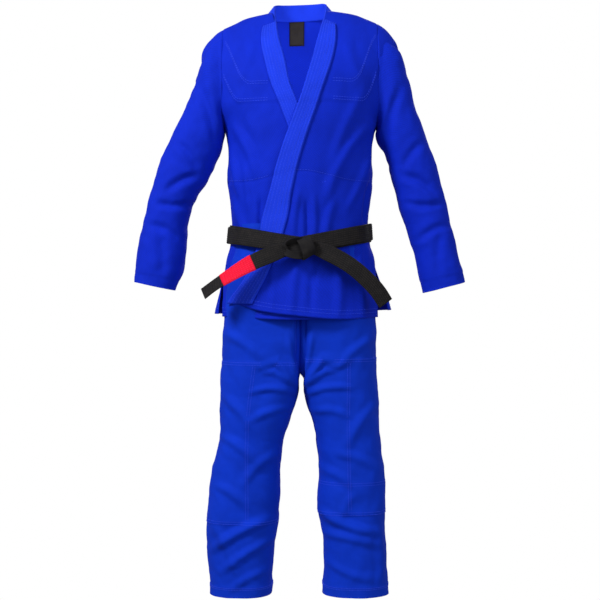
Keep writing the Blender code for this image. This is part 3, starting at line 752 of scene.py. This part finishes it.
def sleeve_surface(word, turn, ring, lift=0.0):
    """A point of the finished sleeve: its form with lift, folds, seams and cuff."""
    form = sleeve_form(word, turn, ring)
    side = SIGN[word]
    x, z = form[..., 0] * side, form[..., 2] - WAIST[2]
    normal = normals_of(lambda a, b: sleeve_form(word, a, b), turn, ring, 0.004) * side
    front = smooth(-0.25, 0.35, -normal[..., 1])
    rise = front * FOLD_GAIN * folds(x, z, SLEEVE_FRONT_FOLDS[word])
    rise = rise + (1 - front) * folds(x, z, SLEEVE_BACK_FOLDS)
    rise = rise + 0.0016 * rumple(x + 0.3 * form[..., 1], z, 0.09, 21 if side > 0 else 33)
    rise = rise + 0.0012 * smooth(SLEEVE_END - CUFF_DEPTH - 0.03, SLEEVE_END - CUFF_DEPTH + 0.03, ring)
    rise = rise * smooth(0.05, 0.6, ring) + seam_dip((ring - 0.12) * 0.04, 0.004, 0.002)
    return form + normal * (rise + lift)[..., None]


def split_tube(label, surface, cuts, columns, look, flip=False):
    """Pieces of one tube, cut across at the given rings. They share their normals at each cut, so
    that the cut doesn't show."""
    turn = (np.arange(columns) / columns * 2.0 * math.pi)[None, :]
    pieces = []
    for half, (low, high, rows) in zip(("upper", "lower"), cuts):
        ring = np.linspace(low, high, rows)
        inner = surface(turn, ring[:, None])
        step = ring[1] - ring[0]
        longer = np.concatenate([[ring[0] - step], ring, [ring[-1] + step]])
        wide = surface(turn, longer[:, None])
        wrapped = np.concatenate([wide[:, -1:], wide, wide[:, :1]], 1)
        cross = np.cross((wrapped[:, 2:] - wrapped[:, :-2])[1:-1], (wide[2:] - wide[:-2]))
        normal = unit(cross) * (-1.0 if flip else 1.0)
        outer = inner + normal * CLOTH
        walls = [grid_mesh(name, points, cloth_metres(points, ring=True), look, True, outward)
                 for name, points, outward in ((f"{label}_{half}", outer, not flip), ("lining", inner, flip))]
        pieces.append(join_walls(*walls, np.concatenate([outer, inner]), normal, flip))
    return pieces


def join_walls(piece, lining, points, normal, flip):
    """Joins an outer and an inner wall with a rim at each end, and gives both their smooth normals."""
    count, columns = points.shape[0] * points.shape[1] // 2, points.shape[1]
    faces = [list(face.vertices) for face in piece.data.polygons]
    faces += [[count + corner for corner in face.vertices] for face in lining.data.polygons]
    for start, turned in ((0, not flip), (count - columns, flip)):
        for column in range(columns):
            first, after = start + column, start + (column + 1) % columns
            rim = [first, after, count + after, count + first]
            faces.append(rim[::-1] if turned else rim)
    uv = np.concatenate([corner_uv(piece.data), corner_uv(lining.data)])
    mesh = smooth_mesh(piece.name, points.reshape(-1, 3), faces, piece.data.materials[0], uv)
    flat = normal.reshape(-1, 3)
    mesh.normals_split_custom_set_from_vertices(np.concatenate([flat, -flat]).tolist())
    bpy.data.objects.remove(lining)
    piece.data = mesh
    return piece


for word, side in SIDES:
    surface = lambda a, r, lift=0.0, word=word: sleeve_surface(word, a, r, lift)
    upper, lower = split_tube(f"sleeve_{word}", surface,
                              ((0.0, SLEEVE_SPLIT, 90), (SLEEVE_SPLIT, SLEEVE_END, 90)), 96,
                              blue_pearl, flip=side < 0)
    turn = np.linspace(0.0, 2.0 * math.pi, 160)
    cuff_rows = [row_on(lambda a, r: surface(a, r, CLOTH), turn, SLEEVE_END - inset + 0 * turn, 0.0)
                 for inset in (0.05, CUFF_DEPTH - 0.06, CUFF_DEPTH - 0.14)]
    lower_stitches = stitches(f"cuff_stitching_{word}", [(path, up * side) for path, up in cuff_rows],
                              blue_thread)
    armhole_rows = [row_on(lambda a, r: surface(a, r, CLOTH), turn, 0.26 + 0 * turn, 0.0)]
    upper_stitches = stitches(f"armhole_stitching_{word}", [(path, up * side) for path, up in armhole_rows],
                              blue_thread)
    for cloth, thread in ((upper, upper_stitches), (lower, lower_stitches)):
        for piece in (cloth, thread):
            if cloth is upper:
                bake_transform(piece)
            else:
                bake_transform(piece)
    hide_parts(f"upper_sleeve_{word}", f"underarm_gusset_{word}")
    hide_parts(f"lower_sleeve_{word}", f"cuff_band_{word}")

# ------------------------------------------------------------
# Belt: a long black cotton strap, quilted with rows of stitching. It goes twice round the waist
# over the jacket and dips to a flat square knot at the front.
# ------------------------------------------------------------

BELT_HEIGHT = 0.0415
BELT_THICKNESS = 0.0034
BELT_RIBS = 7
BELT_MIDDLE = -0.0225
BELT_DIP = 0.0385
BELT_GAP = 0.0014
OVER_LAPELS = 0.018
# The outer turn of the belt lies a little off the inner one
OUTER_TURN_SHIFT = 0.0045


def black_belt_cotton(name, colour, worn):
    """Black cotton sateen over wadding: matt, slightly brown, paler where the ribs are rubbed."""
    made, tree, shader, metres = matt_cloth(name, 0.75, 0.02, "8A8078")
    threads = bands(tree, metres, 0.0022, inputs={"Distortion": 0.6}, bands_direction="Y")
    wear = blotches(tree, metres, 60.0, 0.65, 6.0, 0.45, 0.75, 0.0, 0.8)
    cover(tree, shader, mixed(tree, wear, colour, worn), threads, 0.3, 0.0004)
    return made


belt_cotton = black_belt_cotton("black_belt_cotton", "1B1A1C", "2A2726")
belt_thread = stitch_thread("black_polyester_thread", "34312F")


def belt_surface(turn, height, lift=0.0):
    """The jacket under the belt, smoothed, and standing off where the lapels pass."""
    form = body_form(turn, height)
    away = np.abs(np.arctan2(np.sin(turn), np.cos(turn)))
    over = OVER_LAPELS * smooth(math.radians(74), math.radians(46), away)
    return form + normals_of(body_form, turn, height) * (CLOTH + 0.004 + over + lift)[..., None]


def belt_line(turn, outer):
    """Height of the belt's middle: it dips at the front, more loosely on its outer turn."""
    facing = np.where(np.cos(turn) > 0, 1.0 - np.abs(np.sin(turn)), 0.0)
    shift = OUTER_TURN_SHIFT * np.sin(turn) * outer
    return BELT_MIDDLE - BELT_DIP * facing ** 0.9 + shift


def belt_turn(name, outer):
    """One turn of the belt round the waist."""
    turn = np.linspace(0.0, 2.0 * math.pi, 260, endpoint=False)
    height = belt_line(turn, outer)
    lift = BELT_GAP + outer * (BELT_THICKNESS + 0.0006)
    middle = belt_surface(turn, height, lift + 0 * turn)
    low = belt_surface(turn, height - 0.01, lift + 0 * turn)
    high = belt_surface(turn, height + 0.01, lift + 0 * turn)
    across = unit(high - low)
    heading = unit(np.roll(middle, -1, 0) - np.roll(middle, 1, 0))
    up = unit(np.cross(heading, across))
    rows = []
    for share in np.linspace(-0.86, 0.86, BELT_RIBS + 1):
        rows.append((middle + across * (share * BELT_HEIGHT / 2) + up * (BELT_THICKNESS * 0.44), up))
    return strap(name, middle, across, up, BELT_HEIGHT, BELT_THICKNESS, BELT_RIBS, belt_cotton,
                 closed=True), rows


wrap_inner, _ = belt_turn("belt_turn_inner", 0.0)
wrap_outer, belt_rows = belt_turn("belt_turn_outer", 1.0)
belt_stitches = stitches("belt_stitching", belt_rows, belt_thread)
for piece in (wrap_inner, wrap_outer, belt_stitches):
    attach(piece, "jacket")
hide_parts("belt_wrap")

# Knot: one end folds down over the other, which comes out to the left as a flattened loop
knot_low, knot_high = (np.array(corner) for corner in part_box("belt_knot"))
KNOT = (knot_low + knot_high) / 2.0


def knot_strap(name, stations, width, thickness=BELT_THICKNESS, closed=False):
    """A piece of the belt inside the knot: its middle points and the direction of its width."""
    table = np.array(stations, float)
    if closed:
        table = np.concatenate([table, table[:1]])
    keys = lengths(table[:, :3])
    fine = along(np.concatenate([keys[:, None], table], 1), np.linspace(0.0, keys[-1], 60))
    if closed:
        fine = fine[:-1]
    middle, across = fine[:, :3] + KNOT, unit(fine[:, 3:])
    heading = unit(np.gradient(middle, axis=0))
    if closed:
        heading = unit(np.roll(middle, -1, 0) - np.roll(middle, 1, 0))
    across = unit(across - heading * np.sum(across * heading, axis=1, keepdims=True))
    up = unit(np.cross(across, heading))
    piece = strap(name, middle, across, up, width, thickness, 5, belt_cotton, closed=closed)
    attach(piece, "jacket")
    return piece


# Each station: x, y, z from the knot's middle, then the direction of the strap's width
KNOT_BIGHT = (
    (0.002, 0.013, 0.016, 0.9, 0.1, 0.2),
    (0.003, 0.0, 0.0235, 0.9, 0.06, 0.34),
    (0.008, -0.01, 0.0185, 0.86, -0.04, 0.46),
    (0.014, -0.014, 0.004, 0.82, -0.1, 0.55),
    (0.019, -0.012, -0.0105, 0.8, -0.06, 0.6),
    (0.019, -0.004, -0.0195, 0.82, 0.05, 0.54),
    (0.013, 0.008, -0.018, 0.88, 0.12, 0.38),
    (0.006, 0.014, 0.0, 0.9, 0.14, 0.26),
)
KNOT_UPPER_FOLD = (
    (0.01, 0.004, 0.016, 0.0, -0.55, 0.84),
    (-0.006, -0.003, 0.0175, 0.02, -0.62, 0.78),
    (-0.022, -0.005, 0.015, 0.1, -0.68, 0.72),
    (-0.034, -0.002, 0.008, 0.45, -0.62, 0.62),
    (-0.039, 0.003, -0.001, 0.8, -0.45, 0.3),
)
KNOT_LOWER_LIP = (
    (0.008, 0.004, -0.0175, 0.0, 0.5, 0.86),
    (-0.008, -0.005, -0.019, -0.05, 0.42, 0.9),
    (-0.024, -0.0075, -0.016, -0.2, 0.34, 0.92),
    (-0.038, -0.005, -0.01, -0.34, 0.24, 0.9),
)
KNOT_HEART = (
    (0.022, 0.006, 0.004, 0.0, 0.05, 1.00),
    (0.0, 0.001, 0.0, 0.0, 0.02, 1.00),
    (-0.02, 0.002, -0.002, 0.05, 0.05, 1.00),
    (-0.04, 0.007, -0.004, 0.2, 0.1, 0.95),
)
bight = knot_strap("belt_knot_bight", KNOT_BIGHT, 0.034, 0.0042, closed=True)
upper_fold = knot_strap("belt_knot_upper_fold", KNOT_UPPER_FOLD, 0.02)
lower_lip = knot_strap("belt_knot_lower_lip", KNOT_LOWER_LIP, 0.018)
heart = knot_strap("belt_knot_heart", KNOT_HEART, 0.03)
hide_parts("belt_knot")

# Ends of the belt: they hang out to both sides of the knot, and lie on the skirt
TAIL_WIDTH = 0.04
TAILS = {
    "right": mm((
        (-26, -165, -66), (-50, -169, -72.5), (-85, -169, -86),
        (-120, -166.5, -102), (-160, -164, -125), (-204, -159, -153), (-231, -153, -173))),
    "left": mm((
        (30, -166, -63), (55, -169, -71), (85, -170, -85), (120, -169, -106),
        (155, -164, -135), (186, -159, -168), (204.5, -153, -196))),
}
# How far each end turns its face up towards its tip
TAIL_TWIST = {"right": 0.8, "left": 0.3}
RED_BAR = (0.092, 0.18)


def red_bar_cotton(name, colour, deep):
    """Red cotton sewn round the belt's end: brighter and a little smoother than the black."""
    made, tree, shader, metres = matt_cloth(name, 0.7, 0.02, "FF8080")
    threads = bands(tree, metres, 0.0022, inputs={"Distortion": 0.5}, bands_direction="Y")
    cloud = add(tree, "TexNoise", {"Vector": metres, "Scale": 70.0, "Detail": 4.0}).outputs[0]
    cover(tree, shader, mixed(tree, cloud, colour, deep), threads, 0.3, 0.0004)
    return made


red_cotton = red_bar_cotton("red_belt_cotton", "EE1238", "D8082C")
red_thread = stitch_thread("red_polyester_thread", "FF3A5C")


def tail_frames(word, count=90):
    """A tail's middle points, the direction of its width and its outward direction."""
    table = TAILS[word]
    keys = lengths(table)
    at = np.linspace(0.0, keys[-1], count)
    middle = along(np.concatenate([keys[:, None], table], 1), at)
    heading = unit(np.gradient(middle, axis=0))
    twist = TAIL_TWIST[word] * smooth(0.02, 0.21, at)
    facing = unit(np.stack([0.1 * np.sin(at * 30.0), -np.cos(twist), 0.12 + np.sin(twist)], -1))
    across = unit(np.cross(heading, facing))
    return at, middle, across, unit(np.cross(across, heading))


for word, side in SIDES:
    at, middle, across, up = tail_frames(word)
    up = up * np.where(up[:, 1:2] > 0, -1.0, 1.0)
    grow = smooth(-0.01, 0.045, at)
    width = TAIL_WIDTH * (0.72 + 0.28 * grow)
    tail = strap(f"belt_end_{word}_strap", middle, across, up, width, BELT_THICKNESS, BELT_RIBS,
                 belt_cotton)
    rows = [(middle + across * (width * share / 2)[:, None] + up * (BELT_THICKNESS * 0.44), up)
            for share in np.linspace(-0.86, 0.86, BELT_RIBS + 1)]
    thread = stitches(f"belt_end_{word}_stitching", rows, belt_thread)
    for piece in (tail, thread):
        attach(piece, f"belt_end_{word}")
    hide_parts(f"belt_tail_{word}")
    if word == "right":
        bar = (at >= RED_BAR[0]) & (at <= RED_BAR[1])
        red = strap("rank_bar_sleeve", middle[bar], across[bar], up[bar], TAIL_WIDTH + 0.0016,
                    BELT_THICKNESS + 0.0016, BELT_RIBS, red_cotton)
        rows = [(middle[bar] + across[bar] * (TAIL_WIDTH * share / 2) + up[bar] * (BELT_THICKNESS * 0.44
                                                                                   + 0.0008), up[bar])
                for share in np.linspace(-0.86, 0.86, BELT_RIBS + 1)]
        red_stitches = stitches("rank_bar_stitching", rows, red_thread)
        for piece in (red, red_stitches):
            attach(piece, "belt_end_right")
        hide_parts("rank_bar")

# ------------------------------------------------------------
# Trousers: two halves of light cotton twill that meet at the centre seams, each drawn as a thigh
# and a shin. A second layer covers the knee, inside the leg.
# ------------------------------------------------------------

# Rings of a leg from the waist down: depth below it, then each ring's outer and inner x, half
# depth and the squareness of its inner side
LEG_DROPS = mm((0, 45, 100, 200, 300, 372, 412, 450, 487.5, 537.5, 612.5, 687.5, 787.5, 862.5, 915))
LEG_HALF_DEPTHS = mm((100, 106, 113, 118, 115, 109, 106, 103, 100, 95, 91, 89, 86, 82, 80))
LEG_SQUARENESS = (9, 9, 9, 9, 8, 5, 3.4, 2.8, 2.5, 2.5, 2.5, 2.5, 2.5, 2.5, 2.5)
LEG_OUTER = {
    "right": mm((153, 160, 174, 186, 192, 195, 197, 197, 196.5, 200, 217, 227, 231.5, 225, 221.5)),
    "left": mm((153, 160, 174, 186, 188.5, 190, 192, 194.5, 195.5, 197.5, 208.5, 210, 212.5, 216, 218)),
}
LEG_INNER = {
    "right": mm((0, 0, 0, 0, 0, 1, 6, 15, 27, 44, 51, 52.5, 62.5, 71, 72.5)),
    "left": mm((0, 0, 0, 0, 0, 1, 10, 21, 33, 43, 49, 45, 59, 60, 57.5)),
}
LEG_TOP = 0.0
LEG_SPLIT = 0.475
LEG_HEM = 0.915
PATCH_TOP = {"right": 0.335, "left": 0.3265}
PATCH_BOTTOM = {"right": 0.738, "left": 0.715}
HEM_BAND = 0.026
# The crease at the centre seam, which the left side falls into: its depth and width
CENTRE_SEAM = {"right": (0.006, 0.008), "left": (0.013, 0.013)}
# Folds on the front of each leg: from x, z to x, z, half width, height and bow
LEG_FRONT_FOLDS = {
    "right": mm((
        (10, -385, 80, -300, 10, 6.5, 6), (10, -395, 110, -345, 9, 5.5, -6),
        (16, -410, 120, -410, 10, 5.5, -10), (28, -450, 120, -480, 12, 5, -8),
        (6, -380, 30, -270, 9, 5, 3), (180, -270, 90, -330, 13, 4.5, 6),
        (185, -420, 110, -520, 14, 5, 10), (190, -520, 100, -590, 14, 5.5, 10),
        (60, -560, 140, -640, 14, 5, -10), (85, -725, 215, -800, 14, 10, -8),
        (75, -775, 190, -850, 13, 7, -6), (200, -640, 120, -700, 14, 5, 8),
        (205, -740, 140, -890, 14, 5, 6), (85, -850, 170, -895, 12, 4.5, -6))),
    "left": mm((
        (10, -385, 75, -290, 10, 6.5, 6), (10, -395, 110, -340, 9, 5.5, -6),
        (20, -415, 125, -400, 10, 5.5, -10), (36, -455, 120, -470, 12, 4.5, -8),
        (6, -380, 30, -260, 9, 5, 3), (175, -280, 90, -350, 13, 4.5, 6),
        (185, -440, 120, -540, 14, 4.5, 10), (190, -600, 90, -560, 13, 4.5, 8),
        (55, -600, 150, -660, 14, 4.5, -10), (52, -705, 190, -755, 14, 8.5, 8),
        (62, -760, 200, -790, 13, 5.5, -6), (190, -740, 195, -885, 12, 5, -4),
        (70, -830, 180, -870, 13, 4.5, 6), (130, -660, 100, -720, 13, 4, 4))),
}
LEG_BACK_FOLDS = mm((
    (20, -365, 150, -320, 13, 7.5, -10), (30, -420, 160, -400, 12, 6, -10),
    (50, -540, 180, -570, 14, 7, 6), (60, -590, 180, -620, 13, 6, 6),
    (190, -460, 110, -530, 14, 5, 8), (80, -700, 190, -760, 14, 6, -6),
    (200, -790, 110, -860, 14, 5.5, 6)))


def leg_form(word, turn, drop):
    """A leg's smooth shape: turn 0 is its outer side, 270 degrees its front, drop its depth below
    the waist. Above the crotch its inner side is the flat centre seam."""
    table = (LEG_DROPS, LEG_OUTER[word], LEG_INNER[word], LEG_HALF_DEPTHS, LEG_SQUARENESS)
    row = along(np.stack(table, 1), drop)
    side = SIGN[word]
    cosine, sine = np.cos(turn), np.sin(turn)
    squareness = np.where(cosine > 0, 2.5, row[..., 3])
    power = 2.0 / squareness
    wide = np.sign(cosine) * np.abs(cosine) ** power
    deep = np.sign(sine) * np.abs(sine) ** power
    x = (row[..., 0] + row[..., 1]) / 2 + (row[..., 0] - row[..., 1]) / 2 * wide
    return np.stack([side * x, row[..., 2] * deep + WAIST[1], WAIST[2] - drop + 0 * x], -1)


def leg_surface(word, turn, drop, lift=0.0):
    """A point of the finished leg: its form with lift, folds, the knee's second layer and the hem."""
    form = leg_form(word, turn, drop)
    side = SIGN[word]
    x, z = form[..., 0] * side, -drop + 0 * form[..., 0]
    normal = normals_of(lambda a, b: leg_form(word, a, b), turn, drop, 0.004) * -side
    front = smooth(-0.25, 0.35, -normal[..., 1])
    rise = front * folds(x, z, LEG_FRONT_FOLDS[word]) + (1 - front) * folds(x, z, LEG_BACK_FOLDS)
    rise = rise + 0.002 * rumple(x + 0.3 * form[..., 1], z, 0.1, 41 if side > 0 else 57)
    layer = smooth(PATCH_TOP[word], PATCH_TOP[word] + 0.004, drop)
    layer = layer * smooth(PATCH_BOTTOM[word], PATCH_BOTTOM[word] - 0.004, drop)
    rise = rise + 0.0016 * layer * front
    rise = rise + 0.0014 * smooth(LEG_HEM - HEM_BAND - 0.003, LEG_HEM - HEM_BAND + 0.003, drop)
    deep, wide = CENTRE_SEAM[word]
    seam = seam_dip(x - 0.004, wide, deep) * smooth(0.42, 0.37, drop) * (np.cos(turn) < 0)
    side_seam = seam_dip(0.5 * (1 - np.cos(turn)) * 0.3, 0.003, 0.0014)
    rise = rise + seam + side_seam
    inside = smooth(0.004, 0.0005, x) * smooth(0.4, 0.36, drop) * (np.cos(turn) < 0)
    rise = rise * (1.0 - inside)
    return form + normal * (rise + lift * (1.0 - inside))[..., None]


trouser_twill = quilted_twill("blue_cotton_drill", "0636C8", "0428A4")


def leg_row(word, turn, drop):
    """A stitch row on a leg, with its normals turned outward."""
    path, up = row_on(lambda a, d: leg_surface(word, a, d, CLOTH), turn, drop, 0.0)
    return path, up * (-1.0 if word == "left" else 1.0)


def turn_at(word, x, drop):
    """The turn on a leg's front at which it has the given x."""
    turns = np.linspace(math.pi, 2.0 * math.pi, 400)
    result = []
    for one_x, one_drop in zip(np.broadcast_to(x, drop.shape), drop):
        form = leg_form(word, turns, one_drop + 0 * turns)
        result.append(np.interp(one_x, np.abs(form[:, 0]), turns))
    return np.array(result)


MIDDLE_SEAM_X = {
    "right": mm((
        (335, 109), (450, 124), (738, 130))),
    "left": mm((
        (326.5, 118), (450, 117), (715, 122))),
}
CALF_SEAM = {"right": None, "left": 0.633}

for word, side in SIDES:
    surface = lambda a, d, lift=0.0, word=word: leg_surface(word, a, d, lift)
    thigh, shin = split_tube(f"trouser_leg_{word}", surface,
                             ((LEG_TOP + 0.002, LEG_SPLIT, 110), (LEG_SPLIT, LEG_HEM, 104)), 132,
                             trouser_twill, flip=side > 0)
    front = np.linspace(math.pi + 0.15, 2.0 * math.pi - 0.02, 90)
    around = np.linspace(0.0, 2.0 * math.pi, 160)
    rows = [leg_row(word, front, PATCH_TOP[word] + rise + 0 * front) for rise in (0.004, 0.01)]
    drop = np.linspace(PATCH_TOP[word] + 0.012, LEG_SPLIT - 0.002, 40)
    seam_x = along(MIDDLE_SEAM_X[word], drop)[..., 0]
    for aside in (-0.003, 0.003):
        rows.append(leg_row(word, turn_at(word, seam_x + aside, drop), drop))
    drop = np.linspace(0.02, 0.365, 90)
    rows.append(leg_row(word, turn_at(word, 0.01, drop), drop))
    thigh_stitches = stitches(f"thigh_stitching_{word}", rows, blue_thread)
    rows = [leg_row(word, front, PATCH_BOTTOM[word] - rise + 0 * front) for rise in (0.004, 0.01)]
    rows += [leg_row(word, around, LEG_HEM - inset + 0 * around) for inset in (0.02, 0.024)]
    drop = np.linspace(LEG_SPLIT + 0.002, PATCH_BOTTOM[word] - 0.012, 60)
    seam_x = along(MIDDLE_SEAM_X[word], drop)[..., 0]
    for aside in (-0.003, 0.003):
        rows.append(leg_row(word, turn_at(word, seam_x + aside, drop), drop))
    if CALF_SEAM[word]:
        rows += [leg_row(word, front, CALF_SEAM[word] + rise + 0 * front) for rise in (0.0, 0.006)]
    shin_stitches = stitches(f"shin_stitching_{word}", rows, blue_thread)
    for piece in (thigh, thigh_stitches):
        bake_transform(piece)
    for piece in (shin, shin_stitches):
        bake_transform(piece)
    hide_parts(f"seat_{word}", f"thigh_{word}", f"knee_patch_{word}", f"crotch_gusset_{word}")
    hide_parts(f"shin_{word}", f"shin_patch_{word}", f"ankle_band_{word}")

# ------------------------------------------------------------
# Waistband: the drill turned over into a doubled band at the waist, with six narrow loops for
# the cord sewn over it at top and bottom.
# ------------------------------------------------------------

BAND_DEPTH = 0.044
WAIST_HALF_WIDTH = 0.1555
WAIST_HALF_DEPTH = 0.103


def waist_surface(turn, drop, lift=0.0):
    """The outside of the waistband."""
    growth = 1.0 + 0.9 * drop
    wide, deep = oval(turn, 2.3)
    ripple = 0.0008 * np.sin(31.0 * turn) * np.sin(math.pi * drop / BAND_DEPTH)
    form = np.stack([(WAIST_HALF_WIDTH * growth + lift + ripple) * wide,
                     (WAIST_HALF_DEPTH * growth + lift + ripple) * deep, WAIST[2] - drop + 0 * wide], -1)
    return form


turn = -(np.arange(200) / 200 * 2.0 * math.pi)[None, :]
drop = np.linspace(BAND_DEPTH, 0.0, 14)[:, None]
band_cloth = cloth_piece("waistband_cloth", waist_surface(turn, drop), trouser_twill, 0.0024, ring=True,
                         outward=False)
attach(band_cloth, "trousers")
around = np.linspace(0.0, 2.0 * math.pi, 300)
rows = []
for inset in (0.004, BAND_DEPTH - 0.005, BAND_DEPTH - 0.01):
    path = waist_surface(around, inset + 0 * around, 0.0026)
    rows.append((path, unit(path * np.array([1.0, 1.0, 0.0]))))
band_thread = stitches("waistband_stitching", rows, blue_thread)
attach(band_thread, "trousers")
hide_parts("waistband")
for node in ("front", "side", "back"):
    for word, side in SIDES:
        low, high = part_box(f"loop_{node}_{word}")
        middle = (np.array(low) + np.array(high)) / 2.0
        centre_turn = math.atan2(middle[1] / WAIST_HALF_DEPTH, middle[0] / WAIST_HALF_WIDTH)
        rise = np.linspace(-0.5, 0.5, 12)
        bulge = 0.0032 + 0.0022 * (1.0 - (2.0 * rise) ** 6)
        drop = BAND_DEPTH / 2 + rise * (BAND_DEPTH - 0.004)
        path = waist_surface(centre_turn + 0 * drop, drop)
        out = unit(path * np.array([1.0, 1.0, 0.0]))
        path = path + out * bulge[:, None]
        across = unit(np.cross(np.tile([[0.0, 0.0, 1.0]], (12, 1)), out))
        loop = strap(f"waist_loop_{node}_{word}", path, across, out, 0.01, 0.0018, 2, trouser_twill)
        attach(loop, "trousers")
        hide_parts(f"loop_{node}_{word}")

# ------------------------------------------------------------
# The studio: a plain white floor and air, soft boxes in front, behind and inside the collar, and
# a camera level with the middle of the uniform.
# ------------------------------------------------------------

CAMERA_DISTANCE = 3.3
VIEW_HEIGHT = 1.5
MIDDLE_HEIGHT = -0.1875
FLOOR_HEIGHT = -0.945
PAPER_LIGHT = 0.3
AIR_LIGHT = 0.34


def studio_white(name, tree, output, lighting, shown):
    """Gives paper or air the white that is seen, and the dimmer light that it throws."""
    path = add(tree, "LightPath", {})
    glow = add(tree, "Emission" if output == "Material Output" else "Background",
               {"Color": linear("FFFFFF")}, name=name)
    strength = add(tree, "MapRange", {"Value": path.outputs["Is Camera Ray"],
                                                "To Min": lighting, "To Max": shown})
    tree.links.new(strength.outputs[0], glow.inputs["Strength"])
    tree.links.new(glow.outputs[0], tree.nodes[output].inputs["Surface"])


paper_look = bpy.data.materials.new("white_background_paper")
paper_look.use_nodes = True
studio_white("paper", paper_look.node_tree, "Material Output", PAPER_LIGHT, 1.0)
paper_points = np.array([[(x, y, FLOOR_HEIGHT) for x in (-30.0, 0.0, 30.0)] for y in (-30.0, 0.0, 30.0)])
paper = grid_mesh("background_paper", paper_points, cloth_metres(paper_points), paper_look)


def soft_box(name, place, aim, size, power):
    """A large area light that faces a point."""
    light = bpy.data.lights.new(name, "AREA")
    light.shape = "RECTANGLE"
    light.size, light.size_y = size
    light.energy = power
    lamp = bpy.data.objects.new(name, light)
    lamp.location = place
    lamp.rotation_euler = (Vector(aim) - Vector(place)).to_track_quat("-Z", "Y").to_euler()
    lamp.visible_camera = False
    bpy.context.scene.collection.objects.link(lamp)


soft_box("key_light", (-2.4, -2.2, 2.1), (0.0, 0.0, -0.1), (0.9, 0.9), 128.0)
soft_box("fill_light", (1.6, -3.0, 0.9), (0.0, 0.0, -0.3), (1.6, 2.0), 34.0)
soft_box("inside_light", (0.0, -0.06, 0.34), (0.0, 0.1, 0.43), (0.12, 0.08), 0.34)
soft_box("back_light", (0.6, 3.0, 1.8), (0.0, 0.0, -0.1), (2.0, 1.6), 60.0)
world = bpy.data.worlds.new("studio_air")
world.use_nodes = True
studio_white("air", world.node_tree, "World Output", AIR_LIGHT, 1.0)
bpy.context.scene.world = world
bpy.context.scene.view_settings.view_transform = "Standard"

camera_data = bpy.data.cameras.new("camera")
camera_data.sensor_width = 36.0
camera_data.lens = camera_data.sensor_width * CAMERA_DISTANCE / VIEW_HEIGHT
camera = bpy.data.objects.new("camera", camera_data)
camera.location = (0.0, -CAMERA_DISTANCE, MIDDLE_HEIGHT)
camera.rotation_euler = (math.radians(90.0), 0.0, 0.0)
bpy.context.scene.collection.objects.link(camera)
bpy.context.scene.camera = camera
